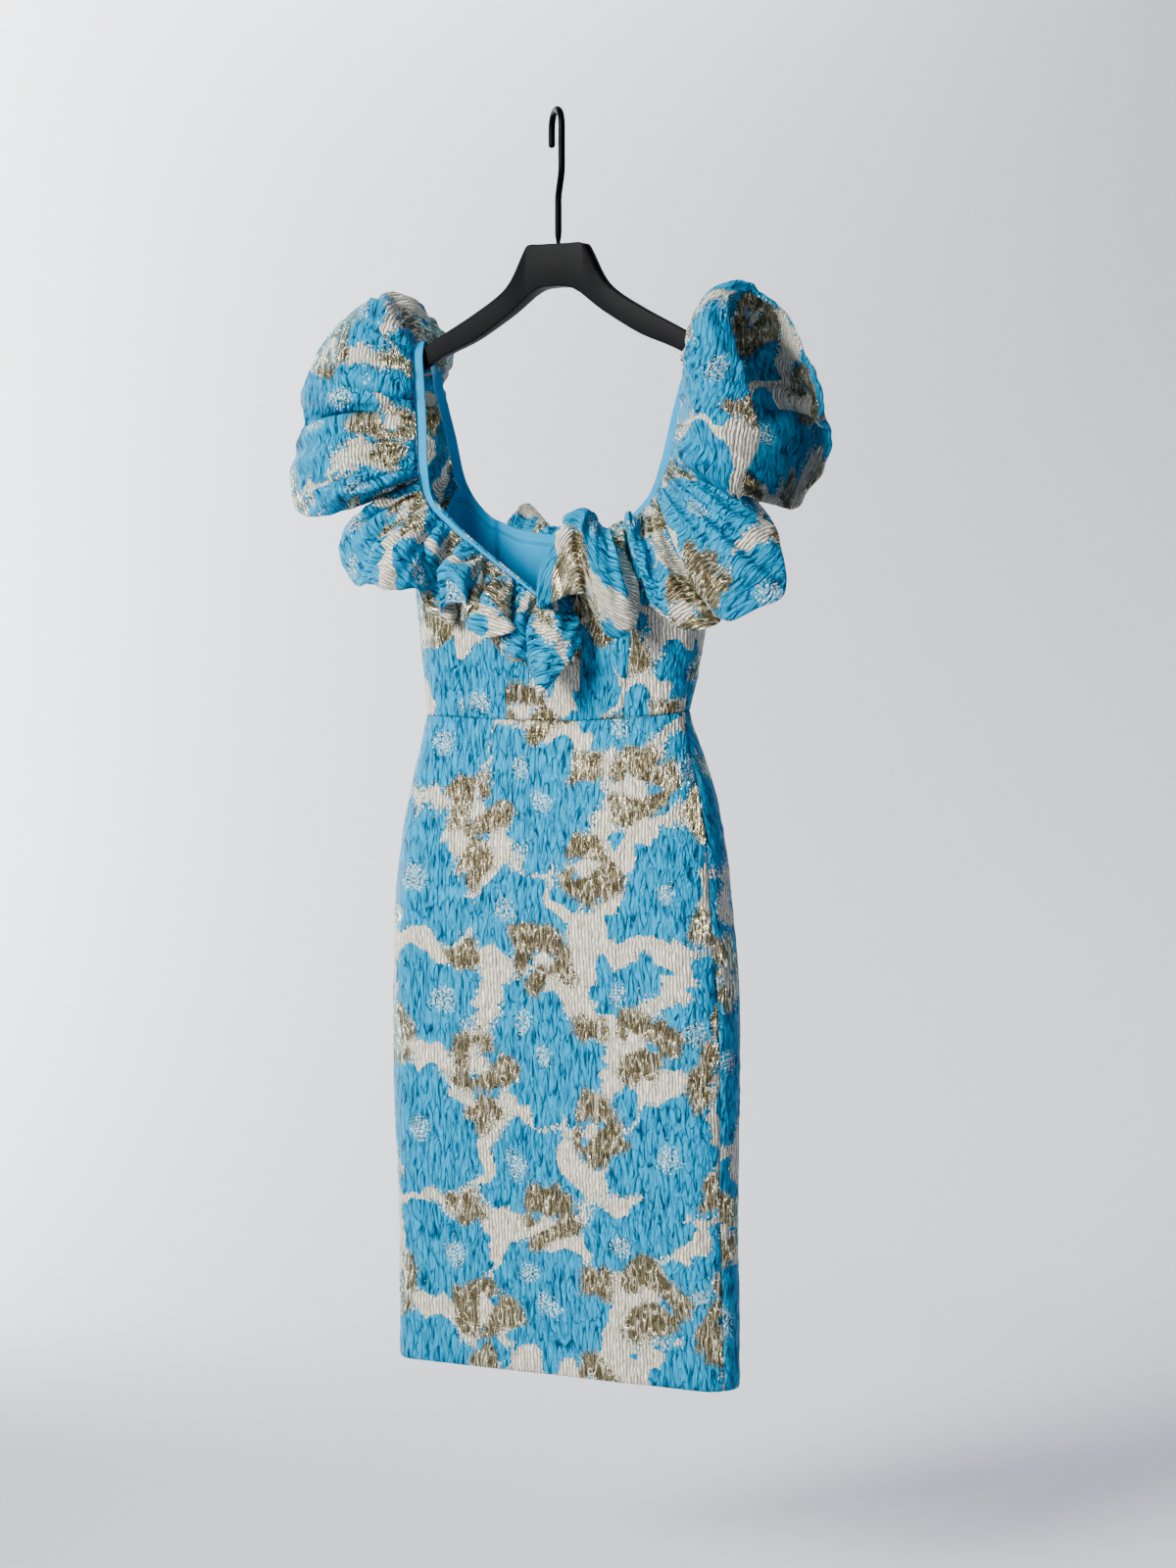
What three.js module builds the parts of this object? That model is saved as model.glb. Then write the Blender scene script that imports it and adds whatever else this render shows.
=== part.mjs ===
// A bodycon midi dress with a gathered ruffle round its neck opening, hanging on a clothes hanger.
// Millimetres, +Z up, the front of the dress faces -Y. The origin is the inside top of the hook,
// where the rail would carry it. The dress and the hanger's body share one upright axis beside it.
import * as THREE from 'three';

// ---------------------------------------------------------------- driving sizes
const CLOTH = 2;              // wall of the brocade
const LINING = 1;             // wall of the satin lining
const RUFFLE_WALL = 3;        // the ruffle is a folded, doubled strip
const SEAM_GAP = 0.3;         // between sewn pieces
const LINING_DEPTH = 3.4;     // from the outside of the brocade to the outside of the lining
const ZIP = { halfWidth: 12, wall: 0.8, depth: 2.3, skirtRows: 4 };
const SKIRT_ROWS = 14;
const BODICE_BACK_ROWS = 6;
const SLIDER = { width: 5, height: 10, wall: 3, top: -489.5 };
const PULL = { width: 5, length: 28, wall: 1.2, pivotDrop: 7, turnRadius: 1.1 };
const STRAP = { width: 13, wall: 2.4, frontEnd: -441, backEnd: -431, steps: 26, searches: 1000 };
const ROD = 8;                // hook wire
const HOOK = { bend: 20, stemOffset: 6.5, planeTurn: -46, stemFoot: -151.7, kinkLow: -96,
  kinkHigh: -71, tipEnd: -38, taperFoot: 0.5 };
const HALF_ROUND = 5;          // facets of half a round
const HANGER_TILT = 27;       // slope of the arms where the straps lie, in degrees

const rad = THREE.MathUtils.degToRad;
const hookDirection = new THREE.Vector3(Math.cos(rad(HOOK.planeTurn)), Math.sin(rad(HOOK.planeTurn)), 0);

// ---------------------------------------------------------------- finishes
const finish = (color, roughness, metalness = 0) => ({ color, roughness, metalness });
const FINISH = {
  brocade: finish(0x2c9fcb, 0.55),
  satin: finish(0x1fa3d3, 0.42),
  hanger: finish(0x262829, 0.6),
  hook: finish(0x17181a, 0.5, 0.4),
  zip: finish(0x2391bd, 0.6),
  zipMetal: finish(0x2a8fb8, 0.4, 0.6),
};

// ---------------------------------------------------------------- the body of the dress
// One row for each level. Every section is a flattened tube: near-flat front and back, with round sides
// whose radius is the half depth. The side seam on the right sits part of the way round that side.
const LEVELS = [
  { z: -425, halfWidth: 184, halfDepth: 47, belly: 0, seat: 0, sway: 0, seamTurn: 84 },
  { z: -500, halfWidth: 187, halfDepth: 50, belly: 1, seat: 1, sway: 1, seamTurn: 82 },
  { z: -556, halfWidth: 186, halfDepth: 50, belly: 2, seat: 1, sway: 2, seamTurn: 80 },
  { z: -600, halfWidth: 182, halfDepth: 49, belly: 3, seat: 1, sway: 2, seamTurn: 78 },
  { z: -646, halfWidth: 176, halfDepth: 44, belly: 2, seat: 0, sway: 1, seamTurn: 80 },
  { z: -695, halfWidth: 168.5, halfDepth: 36, belly: 2, seat: 0, sway: -2, seamTurn: 86 },
  { z: -735, halfWidth: 179, halfDepth: 43, belly: 4, seat: 3, sway: 1, seamTurn: 72 },
  { z: -780, halfWidth: 193, halfDepth: 49, belly: 5, seat: 6, sway: 3, seamTurn: 66 },
  { z: -825, halfWidth: 203.5, halfDepth: 51, belly: 5, seat: 8, sway: 3, seamTurn: 62 },
  { z: -870, halfWidth: 210.5, halfDepth: 53, belly: 4, seat: 8, sway: 3, seamTurn: 60 },
  { z: -920, halfWidth: 216.5, halfDepth: 53, belly: 3, seat: 6, sway: 3, seamTurn: 57 },
  { z: -1010, halfWidth: 223.5, halfDepth: 50, belly: 2, seat: 3, sway: 5, seamTurn: 55 },
  { z: -1125, halfWidth: 225, halfDepth: 46, belly: 1, seat: 1, sway: 6, seamTurn: 55 },
  { z: -1240, halfWidth: 222, halfDepth: 41, belly: 0, seat: 0, sway: 7, seamTurn: 54 },
  { z: -1355, halfWidth: 221.5, halfDepth: 37, belly: 0, seat: 0, sway: 9, seamTurn: 54 },
  { z: -1475, halfWidth: 221.5, halfDepth: 34, belly: 0, seat: 0, sway: 11, seamTurn: 54 },
];
const HEM = -1468;
const WAIST = { front: -703, side: -697, right: -690 };   // the seam dips a little at the centre front
const UNDERARM = -500;

// Top edge of the bodice, by the distance round it from the centre front or the centre back.
const FRONT_EDGE = [
  { across: 0, z: -557 }, { across: 32, z: -534 }, { across: 70, z: -507 }, { across: 112, z: -474 },
  { across: 140, z: -446 }, { across: 147, z: -444 }, { across: 160, z: -448 },
  { across: 178, z: -468 }, { across: 196, z: -490 }, { across: 219, z: UNDERARM },
];
const BACK_EDGE = [
  { across: 0, z: -487 }, { across: 40, z: -486 }, { across: 78, z: -480.5 }, { across: 118, z: -463 },
  { across: 142, z: -438 }, { across: 147, z: -431.5 }, { across: 160, z: -431.5 },
  { across: 178, z: -462 }, { across: 196, z: -488 }, { across: 219, z: UNDERARM },
];
// Panel seams as shares of the way from the centre line to the side.
const FRONT_SEAMS = [0, 0.25, 0.55, 1];
const BACK_SEAMS = [0, 0.5, 1];

// Inner edge of the neck opening for the +X side, from the centre front over the shoulder to the back.
const NECK = [
  { x: 0, y: -52, z: -557 }, { x: 32, y: -52, z: -534 }, { x: 70, y: -51.3, z: -507 },
  { x: 112, y: -49.7, z: -474 }, { x: 140, y: -47.5, z: -446 }, { x: 151, y: -41, z: -411 },
  { x: 160, y: -29, z: -354 }, { x: 169, y: -18, z: -305 }, { x: 174.5, y: -11, z: -271 },
  { x: 177, y: 0, z: -257 }, { x: 174.5, y: 11, z: -271 }, { x: 166, y: 18, z: -303 },
  { x: 158, y: 36, z: -362 }, { x: 146, y: 48, z: -428 }, { x: 118, y: 51, z: -463 },
  { x: 78, y: 51.5, z: -480 }, { x: 40, y: 51.5, z: -486 }, { x: 9, y: 51.5, z: -487 },
];
// How far outside that edge the ruffle is sewn on, by the share of the way round.
const SEWN_AT = [
  { share: 0, inset: 3, lift: 2.3 }, { share: 0.15, inset: 5, lift: 2.3 },
  { share: 0.25, inset: 8, lift: 3.2 }, { share: 0.3, inset: 12.5, lift: 4 },
  { share: 0.75, inset: 12.5, lift: 4 }, { share: 0.85, inset: 5, lift: 2.3 },
  { share: 1, inset: 3, lift: 2.3 },
];

// Above this height the direction off the body turns upwards, to straight up on the shoulder.
const LIFT = { from: -370, perMillimetre: 0.55 };

// ---------------------------------------------------------------- the folds of the ruffle
// One row for each crest, corner or valley of its free edge: where on the neck seam it starts (at, a
// share of the way from the centre front to the centre back), where the edge lies there, and how far
// the strip bellies out and rises between the two. Each row's x is on its own side of the dress.
const LEFT_FOLDS = [
  { fold: 'centre valley', at: 0, x: -0.5, y: -66, z: -634, belly: 2, rise: 0 },
  { fold: 'first low lobe', at: 0.015, x: -14, y: -84, z: -634, belly: 14, rise: 0 },
  { fold: 'its outer corner', at: 0.03, x: -36, y: -75, z: -620, belly: 10, rise: 0 },
  { fold: 'first valley', at: 0.04, x: -28, y: -66, z: -594, belly: 2, rise: 0 },
  { fold: 'second lobe, inner edge', at: 0.05, x: -14, y: -90, z: -600, belly: 16, rise: 0 },
  { fold: 'second lobe, tip', at: 0.075, x: -46, y: -94, z: -606, belly: 22, rise: 0 },
  { fold: 'second lobe, outer edge', at: 0.1, x: -74, y: -88, z: -592, belly: 20, rise: 0 },
  { fold: 'third lobe, inner edge', at: 0.108, x: -62, y: -104, z: -572, belly: 30, rise: 10 },
  { fold: 'third lobe, low', at: 0.135, x: -88, y: -98, z: -566, belly: 30, rise: 10 },
  { fold: 'third lobe, outer corner', at: 0.15, x: -112, y: -76, z: -580, belly: 14, rise: 0 },
  { fold: 'low under-fold', at: 0.165, x: -104, y: -66, z: -594, belly: 6, rise: 0 },
  { fold: 'its outer end', at: 0.185, x: -140, y: -64, z: -572, belly: 5, rise: 0 },
  { fold: 'side lobe, inner edge', at: 0.2, x: -136, y: -92, z: -552, belly: 22, rise: 0 },
  { fold: 'side lobe, low', at: 0.222, x: -168, y: -104, z: -552, belly: 34, rise: 0 },
  { fold: 'side lobe, outer edge', at: 0.238, x: -202, y: -92, z: -545, belly: 30, rise: 0 },
  { fold: 'tucked lobe, low', at: 0.25, x: -232, y: -70, z: -546, belly: 16, rise: 0 },
  { fold: 'tucked lobe, outer edge', at: 0.262, x: -260, y: -60, z: -516, belly: 18, rise: 0 },
  { fold: 'tucked lobe, top', at: 0.272, x: -248, y: -60, z: -474, belly: 12, rise: 0 },
  { fold: 'fold under the sleeve', at: 0.283, x: -208, y: -44, z: -440, belly: 0, rise: 0 },
  { fold: 'sleeve front, low edge', at: 0.295, x: -252, y: -88, z: -462, belly: 30, rise: 0 },
  { fold: 'sleeve front, corner', at: 0.32, x: -307, y: -72, z: -460, belly: 38, rise: 0 },
  { fold: 'sleeve front, bulge', at: 0.345, x: -324, y: -60, z: -421, belly: 42, rise: 0 },
  { fold: 'above the bulge', at: 0.367, x: -322, y: -56, z: -378, belly: 34, rise: 0 },
  { fold: 'deep pleat', at: 0.385, x: -314, y: -50, z: -352, belly: 12, rise: 0 },
  { fold: 'between the pleats', at: 0.408, x: -320, y: -46, z: -328, belly: 36, rise: 0 },
  { fold: 'shallow pleat', at: 0.43, x: -312, y: -38, z: -296, belly: 25, rise: 0 },
  { fold: 'shoulder, outer', at: 0.452, x: -306, y: -32, z: -276, belly: 36, rise: 0 },
  { fold: 'shoulder, upper', at: 0.48, x: -292, y: -20, z: -244, belly: 34, rise: 0 },
  { fold: 'near the top', at: 0.505, x: -270, y: -3, z: -217, belly: 32, rise: 0 },
  { fold: 'top', at: 0.53, x: -240, y: 16, z: -202, belly: 28, rise: 0 },
  { fold: 'behind the top', at: 0.56, x: -250, y: 50, z: -222, belly: 44, rise: 0 },
  { fold: 'back wall, upper', at: 0.6, x: -280, y: 72, z: -280, belly: 60, rise: 0 },
  { fold: 'back pleat', at: 0.625, x: -276, y: 68, z: -310, belly: 36, rise: 0 },
  { fold: 'back wall, middle', at: 0.65, x: -290, y: 84, z: -345, belly: 62, rise: 0 },
  { fold: 'back wall, low', at: 0.69, x: -288, y: 84, z: -405, belly: 56, rise: 0 },
  { fold: 'back corner', at: 0.715, x: -262, y: 80, z: -450, belly: 40, rise: 0 },
];
const RIGHT_FOLDS = [
  { fold: 'centre valley', at: 0, x: 6.5, y: -66, z: -638, belly: 2, rise: 0 },
  { fold: 'tip lobe, inner edge', at: 0.012, x: 10, y: -80, z: -644, belly: 10, rise: 0 },
  { fold: 'tip lobe, tip', at: 0.022, x: 26, y: -96, z: -670, belly: 20, rise: 0 },
  { fold: 'tip lobe, beside the tip', at: 0.03, x: 46, y: -94, z: -654, belly: 20, rise: 0 },
  { fold: 'tip lobe, outer edge', at: 0.04, x: 64, y: -84, z: -626, belly: 12, rise: 0 },
  { fold: 'hollow under the roll', at: 0.05, x: 66, y: -69, z: -604, belly: 2, rise: 0 },
  { fold: 'inner end of the hollow', at: 0.057, x: 44, y: -80, z: -578, belly: 4, rise: 0 },
  { fold: 'roll, inner end', at: 0.065, x: 38, y: -112, z: -574, belly: 28, rise: 50 },
  { fold: 'roll', at: 0.09, x: 77, y: -114, z: -558, belly: 34, rise: 120 },
  { fold: 'second lobe, inner edge', at: 0.12, x: 90, y: -104, z: -566, belly: 30, rise: 145 },
  { fold: 'second lobe, low', at: 0.145, x: 104, y: -104, z: -592, belly: 28, rise: 120 },
  { fold: 'second lobe, tip', at: 0.163, x: 126, y: -100, z: -608, belly: 24, rise: 90 },
  { fold: 'second lobe, outer edge', at: 0.178, x: 143, y: -84, z: -588, belly: 14, rise: 60 },
  { fold: 'second valley', at: 0.19, x: 133, y: -66, z: -548, belly: 4, rise: 50 },
  { fold: 'third lobe, inner edge', at: 0.203, x: 152, y: -86, z: -542, belly: 26, rise: 70 },
  { fold: 'third lobe, middle', at: 0.215, x: 176, y: -98, z: -574, belly: 32, rise: 50 },
  { fold: 'third lobe, low', at: 0.228, x: 204, y: -102, z: -594, belly: 32, rise: 0 },
  { fold: 'third lobe, tip', at: 0.24, x: 234, y: -106, z: -597, belly: 28, rise: 0 },
  { fold: 'third lobe, outer edge', at: 0.248, x: 252, y: -92, z: -584, belly: 14, rise: 0 },
  { fold: 'third valley', at: 0.256, x: 221, y: -70, z: -548, belly: -2, rise: 0 },
  { fold: 'great lobe, inner edge', at: 0.264, x: 262, y: -110, z: -588, belly: 32, rise: 0 },
  { fold: 'great lobe, low', at: 0.274, x: 303, y: -106, z: -574, belly: 36, rise: 0 },
  { fold: 'great lobe, below the corner', at: 0.282, x: 327, y: -98, z: -562, belly: 36, rise: 0 },
  { fold: 'great lobe, corner', at: 0.288, x: 329, y: -90, z: -540, belly: 34, rise: 0 },
  { fold: 'great lobe, outer edge', at: 0.295, x: 318, y: -80, z: -506, belly: 28, rise: 0 },
  { fold: 'great lobe, top', at: 0.302, x: 300, y: -66, z: -478, belly: 12, rise: 0 },
  { fold: 'fold under the sleeve', at: 0.308, x: 254, y: -56, z: -460, belly: 0, rise: 0 },
  { fold: 'sleeve front, low edge', at: 0.32, x: 262, y: -80, z: -448, belly: 36, rise: 0 },
  { fold: 'sleeve front, corner', at: 0.34, x: 276, y: -80, z: -422, belly: 42, rise: 0 },
  { fold: 'sleeve front, bulge', at: 0.365, x: 290, y: -78, z: -388, belly: 46, rise: 0 },
  { fold: 'sleeve front, middle', at: 0.405, x: 278, y: -68, z: -341, belly: 44, rise: 0 },
  { fold: 'sleeve front, upper', at: 0.44, x: 256, y: -56, z: -290, belly: 38, rise: 0 },
  { fold: 'near the top', at: 0.48, x: 236, y: -42, z: -236, belly: 32, rise: 0 },
  { fold: 'top', at: 0.515, x: 242, y: -20, z: -218, belly: 26, rise: 0 },
  { fold: 'behind the top', at: 0.545, x: 270, y: 0, z: -226, belly: 28, rise: 0 },
  { fold: 'back wall, upper', at: 0.575, x: 292, y: 18, z: -260, belly: 44, rise: 0 },
  { fold: 'back wall, outer', at: 0.6, x: 308, y: 32, z: -305, belly: 56, rise: 0 },
  { fold: 'above the back pleat', at: 0.622, x: 315, y: 42, z: -345, belly: 60, rise: 0 },
  { fold: 'back pleat', at: 0.64, x: 308, y: 42, z: -362, belly: 48, rise: 0 },
  { fold: 'below the back pleat', at: 0.655, x: 320, y: 48, z: -378, belly: 60, rise: 0 },
  { fold: 'back wall, low', at: 0.68, x: 315, y: 50, z: -405, belly: 62, rise: 0 },
  { fold: 'back corner', at: 0.7, x: 292, y: 54, z: -440, belly: 52, rise: 0 },
  { fold: 'back corner, inner', at: 0.715, x: 271, y: 58, z: -462, belly: 36, rise: 0 },
];
// Both sides share these, mirrored, from under the back of the sleeve to the zip.
const BACK_FOLDS = [
  { fold: 'fold under the sleeve back', at: 0.73, x: 208, y: 60, z: -445, belly: 8, rise: 0 },
  { fold: 'back side lobe, outer edge', at: 0.745, x: 236, y: 88, z: -480, belly: 32, rise: 0 },
  { fold: 'back side lobe, corner', at: 0.77, x: 226, y: 96, z: -520, belly: 36, rise: 0 },
  { fold: 'back side lobe, inner edge', at: 0.79, x: 190, y: 84, z: -532, belly: 24, rise: 0 },
  { fold: 'back valley, first', at: 0.805, x: 162, y: 66, z: -508, belly: 4, rise: 0 },
  { fold: 'back lobe, outer edge', at: 0.82, x: 170, y: 92, z: -522, belly: 34, rise: 0 },
  { fold: 'back lobe, low', at: 0.85, x: 138, y: 98, z: -548, belly: 34, rise: 0 },
  { fold: 'back valley, second', at: 0.875, x: 106, y: 66, z: -532, belly: 2, rise: 40 },
  { fold: 'inner back lobe, outer edge', at: 0.895, x: 112, y: 90, z: -552, belly: 30, rise: 130 },
  { fold: 'inner back lobe, low', at: 0.925, x: 76, y: 94, z: -566, belly: 30, rise: 90 },
  { fold: 'back valley, third', at: 0.95, x: 52, y: 66, z: -548, belly: 2, rise: 70 },
  { fold: 'last back lobe', at: 0.97, x: 48, y: 86, z: -566, belly: 24, rise: 80 },
  { fold: 'end beside the zip', at: 1, x: 13, y: 68, z: -556, belly: 8, rise: 40 },
];
const RUFFLE_STEPS = { perFold: 2, across: 4 };

// ---------------------------------------------------------------- the hanger's body
// One row for each section of an arm, from the middle block out to the tip.
const ARM = [
  { x: 0, top: -152, bottom: -201, depth: 25 },
  { x: 20, top: -152, bottom: -203, depth: 25 },
  { x: 34, top: -152, bottom: -210, depth: 24 },
  { x: 38, top: -156, bottom: -213, depth: 24 },
  { x: 57, top: -190, bottom: -228, depth: 20 },
  { x: 72, top: -206, bottom: -238, depth: 18 },
  { x: 108, top: -228, bottom: -259, depth: 15 },
  { x: 148, top: -249, bottom: -275.5, depth: 13 },
  { x: 178, top: -264.5, bottom: -290, depth: 12 },
  { x: 205, top: -278, bottom: -302, depth: 12 },
  { x: 213, top: -284, bottom: -303, depth: 10 },
  { x: 216, top: -289, bottom: -299, depth: 6 },
];

// ---------------------------------------------------------------- tables to smooth values
// Value of one column at a place along another, on a cubic through the rows (Hermite, with each
// row's slope taken from its neighbours).
function smooth(rows, key, column, place) {
  const ascending = rows[rows.length - 1][key] > rows[0][key];
  const before = (row) => (ascending ? row[key] <= place : row[key] >= place);
  let i = rows.findLastIndex(before);
  i = Math.min(Math.max(i, 0), rows.length - 2);
  const slope = (k) => {
    const low = rows[Math.max(k - 1, 0)];
    const high = rows[Math.min(k + 1, rows.length - 1)];
    return (high[column] - low[column]) / (high[key] - low[key]);
  };
  const step = rows[i + 1][key] - rows[i][key];
  const t = Math.min(Math.max((place - rows[i][key]) / step, 0), 1);
  const rise = 3 * t * t - 2 * t * t * t;
  return (1 - rise) * rows[i][column] + rise * rows[i + 1][column]
    + step * (t * (1 - t) ** 2 * slope(i) - t * t * (1 - t) * slope(i + 1));
}

// The same on straight lines between the rows.
function straight(rows, key, column, place) {
  const i = Math.min(Math.max(rows.findLastIndex((row) => row[key] <= place), 0), rows.length - 2);
  const t = (place - rows[i][key]) / (rows[i + 1][key] - rows[i][key]);
  return THREE.MathUtils.lerp(rows[i][column], rows[i + 1][column], Math.min(Math.max(t, 0), 1));
}

// ---------------------------------------------------------------- closed bodies from grids
// A solid between two grids of points of the same size: both faces and the rim round them.
function solidBetween(outer, inner) {
  const columns = outer.length;
  const rows = outer[0].length;
  const positions = [];
  for (const grid of [outer, inner]) {
    for (const column of grid) {
      for (const point of column) positions.push(point.x, point.y, point.z);
    }
  }
  const at = (layer, i, j) => layer * columns * rows + i * rows + j;
  const faces = [];
  const quad = (a, b, c, d) => faces.push(a, b, c, a, c, d);
  for (let i = 0; i < columns - 1; i += 1) {
    for (let j = 0; j < rows - 1; j += 1) {
      quad(at(0, i, j), at(0, i + 1, j), at(0, i + 1, j + 1), at(0, i, j + 1));
      quad(at(1, i, j), at(1, i, j + 1), at(1, i + 1, j + 1), at(1, i + 1, j));
    }
    quad(at(1, i, 0), at(1, i + 1, 0), at(0, i + 1, 0), at(0, i, 0));
    quad(at(0, i, rows - 1), at(0, i + 1, rows - 1), at(1, i + 1, rows - 1), at(1, i, rows - 1));
  }
  for (let j = 0; j < rows - 1; j += 1) {
    quad(at(0, 0, j), at(0, 0, j + 1), at(1, 0, j + 1), at(1, 0, j));
    quad(at(1, columns - 1, j), at(1, columns - 1, j + 1), at(0, columns - 1, j + 1), at(0, columns - 1, j));
  }
  return facingOut(positions, faces);
}

// A solid through a row of rings with the same number of points, closed by a flat fan at each end.
function solidThrough(rings) {
  const count = rings[0].length;
  const positions = rings.flat().flatMap((point) => [point.x, point.y, point.z]);
  const faces = [];
  for (let i = 0; i < rings.length - 1; i += 1) {
    for (let j = 0; j < count; j += 1) {
      const next = (j + 1) % count;
      const [a, b] = [i * count + j, i * count + next];
      faces.push(a, b, b + count, a, b + count, a + count);
    }
  }
  const last = (rings.length - 1) * count;
  for (let j = 1; j < count - 1; j += 1) {
    faces.push(0, j + 1, j, last, last + j, last + j + 1);
  }
  return facingOut(positions, faces);
}

// Turns every face round if the body's volume comes out negative.
function facingOut(positions, faces) {
  const point = (k) => new THREE.Vector3(...positions.slice(3 * k, 3 * k + 3));
  let volume = 0;
  for (let k = 0; k < faces.length; k += 3) {
    const [a, b, c] = [point(faces[k]), point(faces[k + 1]), point(faces[k + 2])];
    volume += a.dot(b.cross(c));
  }
  if (volume < 0) faces.reverse();
  const geometry = new THREE.BufferGeometry();
  geometry.setAttribute('position', new THREE.Float32BufferAttribute(positions, 3));
  geometry.setIndex(faces);
  return geometry;
}

function named(name, geometry, look) {
  const mesh = new THREE.Mesh(geometry, new THREE.MeshStandardMaterial(look));
  mesh.name = name;
  return mesh;
}

// ---------------------------------------------------------------- the form of the dress
const levelAt = (z) => Object.fromEntries(Object.keys(LEVELS[0])
  .map((column) => [column, column === 'z' ? z : smooth(LEVELS, 'z', column, z)]));

// Way round a quarter of the section: along the flat, then round the side.
const quarterLength = (level) => level.halfWidth - level.halfDepth + level.halfDepth * Math.PI / 2;

// A point of the dress. The way round is 0 at the centre front, 1 at the widest side and 2 at the centre
// back, negative on the left. Depth is measured inwards from the outside of the cloth.
function onBody(way, z, depth = 0) {
  const turn = way > 2 ? way - 4 : way;
  const level = levelAt(z);
  const flat = level.halfWidth - level.halfDepth;
  const round = Math.abs(turn);
  const isBack = round > 1;
  const along = (isBack ? 2 - round : round) * quarterLength(level);
  const angle = Math.max(0, (along - flat) / level.halfDepth);
  const bulge = (isBack ? level.seat : level.belly) * Math.cos(Math.PI / 2 * Math.min(along / flat, 1)) ** 2;
  const reach = level.halfDepth - depth;
  const x = Math.min(along, flat) + reach * Math.sin(angle);
  const y = -reach * Math.cos(angle) - bulge;
  return new THREE.Vector3(Math.sign(turn) * x + level.sway, isBack ? -y : y, z);
}

// Where the right side seam lies, as a turn.
function rightSeam(z) {
  const level = levelAt(z);
  return (level.halfWidth - level.halfDepth + level.halfDepth * rad(level.seamTurn)) / quarterLength(level);
}

// Height of the waist seam and of the bodice's top edge at a turn.
function waistAt(turn) {
  const side = Math.abs(turn) > 1 ? Math.abs(2 - Math.abs(turn)) : Math.abs(turn);
  const end = turn > 0 ? WAIST.right : WAIST.side;
  return THREE.MathUtils.lerp(WAIST.front, end, side * side);
}
function topAt(turn) {
  const isBack = Math.abs(turn) > 1;
  const side = isBack ? Math.abs(2 - Math.abs(turn)) : Math.abs(turn);
  let z = UNDERARM;
  for (let pass = 0; pass < 6; pass += 1) {
    z = straight(isBack ? BACK_EDGE : FRONT_EDGE, 'across', 'z', side * quarterLength(levelAt(z)));
  }
  return z;
}

// A cloth panel between two seams (turns, or functions of the height) and two edges (functions of
// the turn), with half a seam gap left all round.
function panel(name, {
  from, to, bottom, top, columns, rows, depth = 0, wall = CLOTH, look = FINISH.brocade,
}) {
  const seam = (side, z) => (typeof side === 'function' ? side(z) : side);
  const middle = (WAIST.front + UNDERARM) / 2;
  const grids = [depth, depth + wall].map((layer) => {
    const grid = [];
    for (let i = 0; i <= columns; i += 1) {
      const across = i / columns;
      const guide = THREE.MathUtils.lerp(seam(from, middle), seam(to, middle), across);
      const [low, high] = [bottom(guide) + SEAM_GAP / 2, top(guide) - SEAM_GAP / 2];
      const column = [];
      for (let j = 0; j <= rows; j += 1) {
        const z = THREE.MathUtils.lerp(low, high, j / rows);
        const trim = SEAM_GAP / 2 / quarterLength(levelAt(z));
        const turn = THREE.MathUtils.lerp(seam(from, z) + trim, seam(to, z) - trim, across);
        column.push(onBody(turn, z, layer));
      }
      grid.push(column);
    }
    return grid;
  });
  return named(name, solidBetween(...grids), look);
}

function bodicePanels() {
  const up = { bottom: waistAt, top: topAt };
  const [centre, inner, outer] = FRONT_SEAMS;
  const middleBack = 2 - BACK_SEAMS[1];
  const size = {
    centre: { columns: 3, rows: 7 },
    side: { columns: 5, rows: 7 },
    backSide: { columns: 6, rows: BODICE_BACK_ROWS },
    backCentre: { columns: 4, rows: BODICE_BACK_ROWS },
  };
  return [
    panel('bodice_front_centre_right', { from: centre, to: inner, ...up, ...size.centre }),
    panel('bodice_front_centre_left', { from: -inner, to: -centre, ...up, ...size.centre }),
    panel('bodice_front_middle_right', { from: inner, to: outer, ...up, ...size.centre }),
    panel('bodice_front_middle_left', { from: -outer, to: -inner, ...up, ...size.centre }),
    panel('bodice_front_side_right', { from: outer, to: rightSeam, ...up, ...size.side }),
    panel('bodice_front_side_left', { from: -1, to: -outer, ...up, ...size.side }),
    panel('bodice_back_side_right', { from: rightSeam, to: middleBack, ...up, ...size.backSide }),
    panel('bodice_back_side_left', { from: -middleBack, to: -1, ...up, ...size.backSide }),
    panel('bodice_back_centre_right', { from: middleBack, to: 2, ...up, ...size.backCentre }),
    panel('bodice_back_centre_left', { from: -2, to: -middleBack, ...up, ...size.backCentre }),
  ];
}

function liningPanels() {
  const satin = { depth: LINING_DEPTH, wall: LINING, look: FINISH.satin, bottom: waistAt, top: topAt };
  return [
    panel('lining_front', { from: -1, to: 1, columns: 18, rows: 6, ...satin }),
    panel('lining_back_right', { from: 1, to: 2, columns: 9, rows: 6, ...satin }),
    panel('lining_back_left', { from: -2, to: -1, columns: 9, rows: 6, ...satin }),
  ];
}

function skirtPanels() {
  const down = { bottom: () => HEM, top: waistAt, rows: SKIRT_ROWS };
  return [
    panel('skirt_front', { from: -1, to: rightSeam, columns: 16, ...down }),
    panel('skirt_back_right', { from: rightSeam, to: 2, columns: 9, ...down }),
    panel('skirt_back_left', { from: -2, to: -1, columns: 8, ...down }),
  ];
}

// ---------------------------------------------------------------- the neck opening
// The opening's edge as a smooth curve, on one side of the dress (side is 1 or -1).
const neckCurve = (side) => new THREE.CatmullRomCurve3(
  NECK.map(({ x, y, z }) => new THREE.Vector3(side * x, y, z)), false, 'centripetal');

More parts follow.
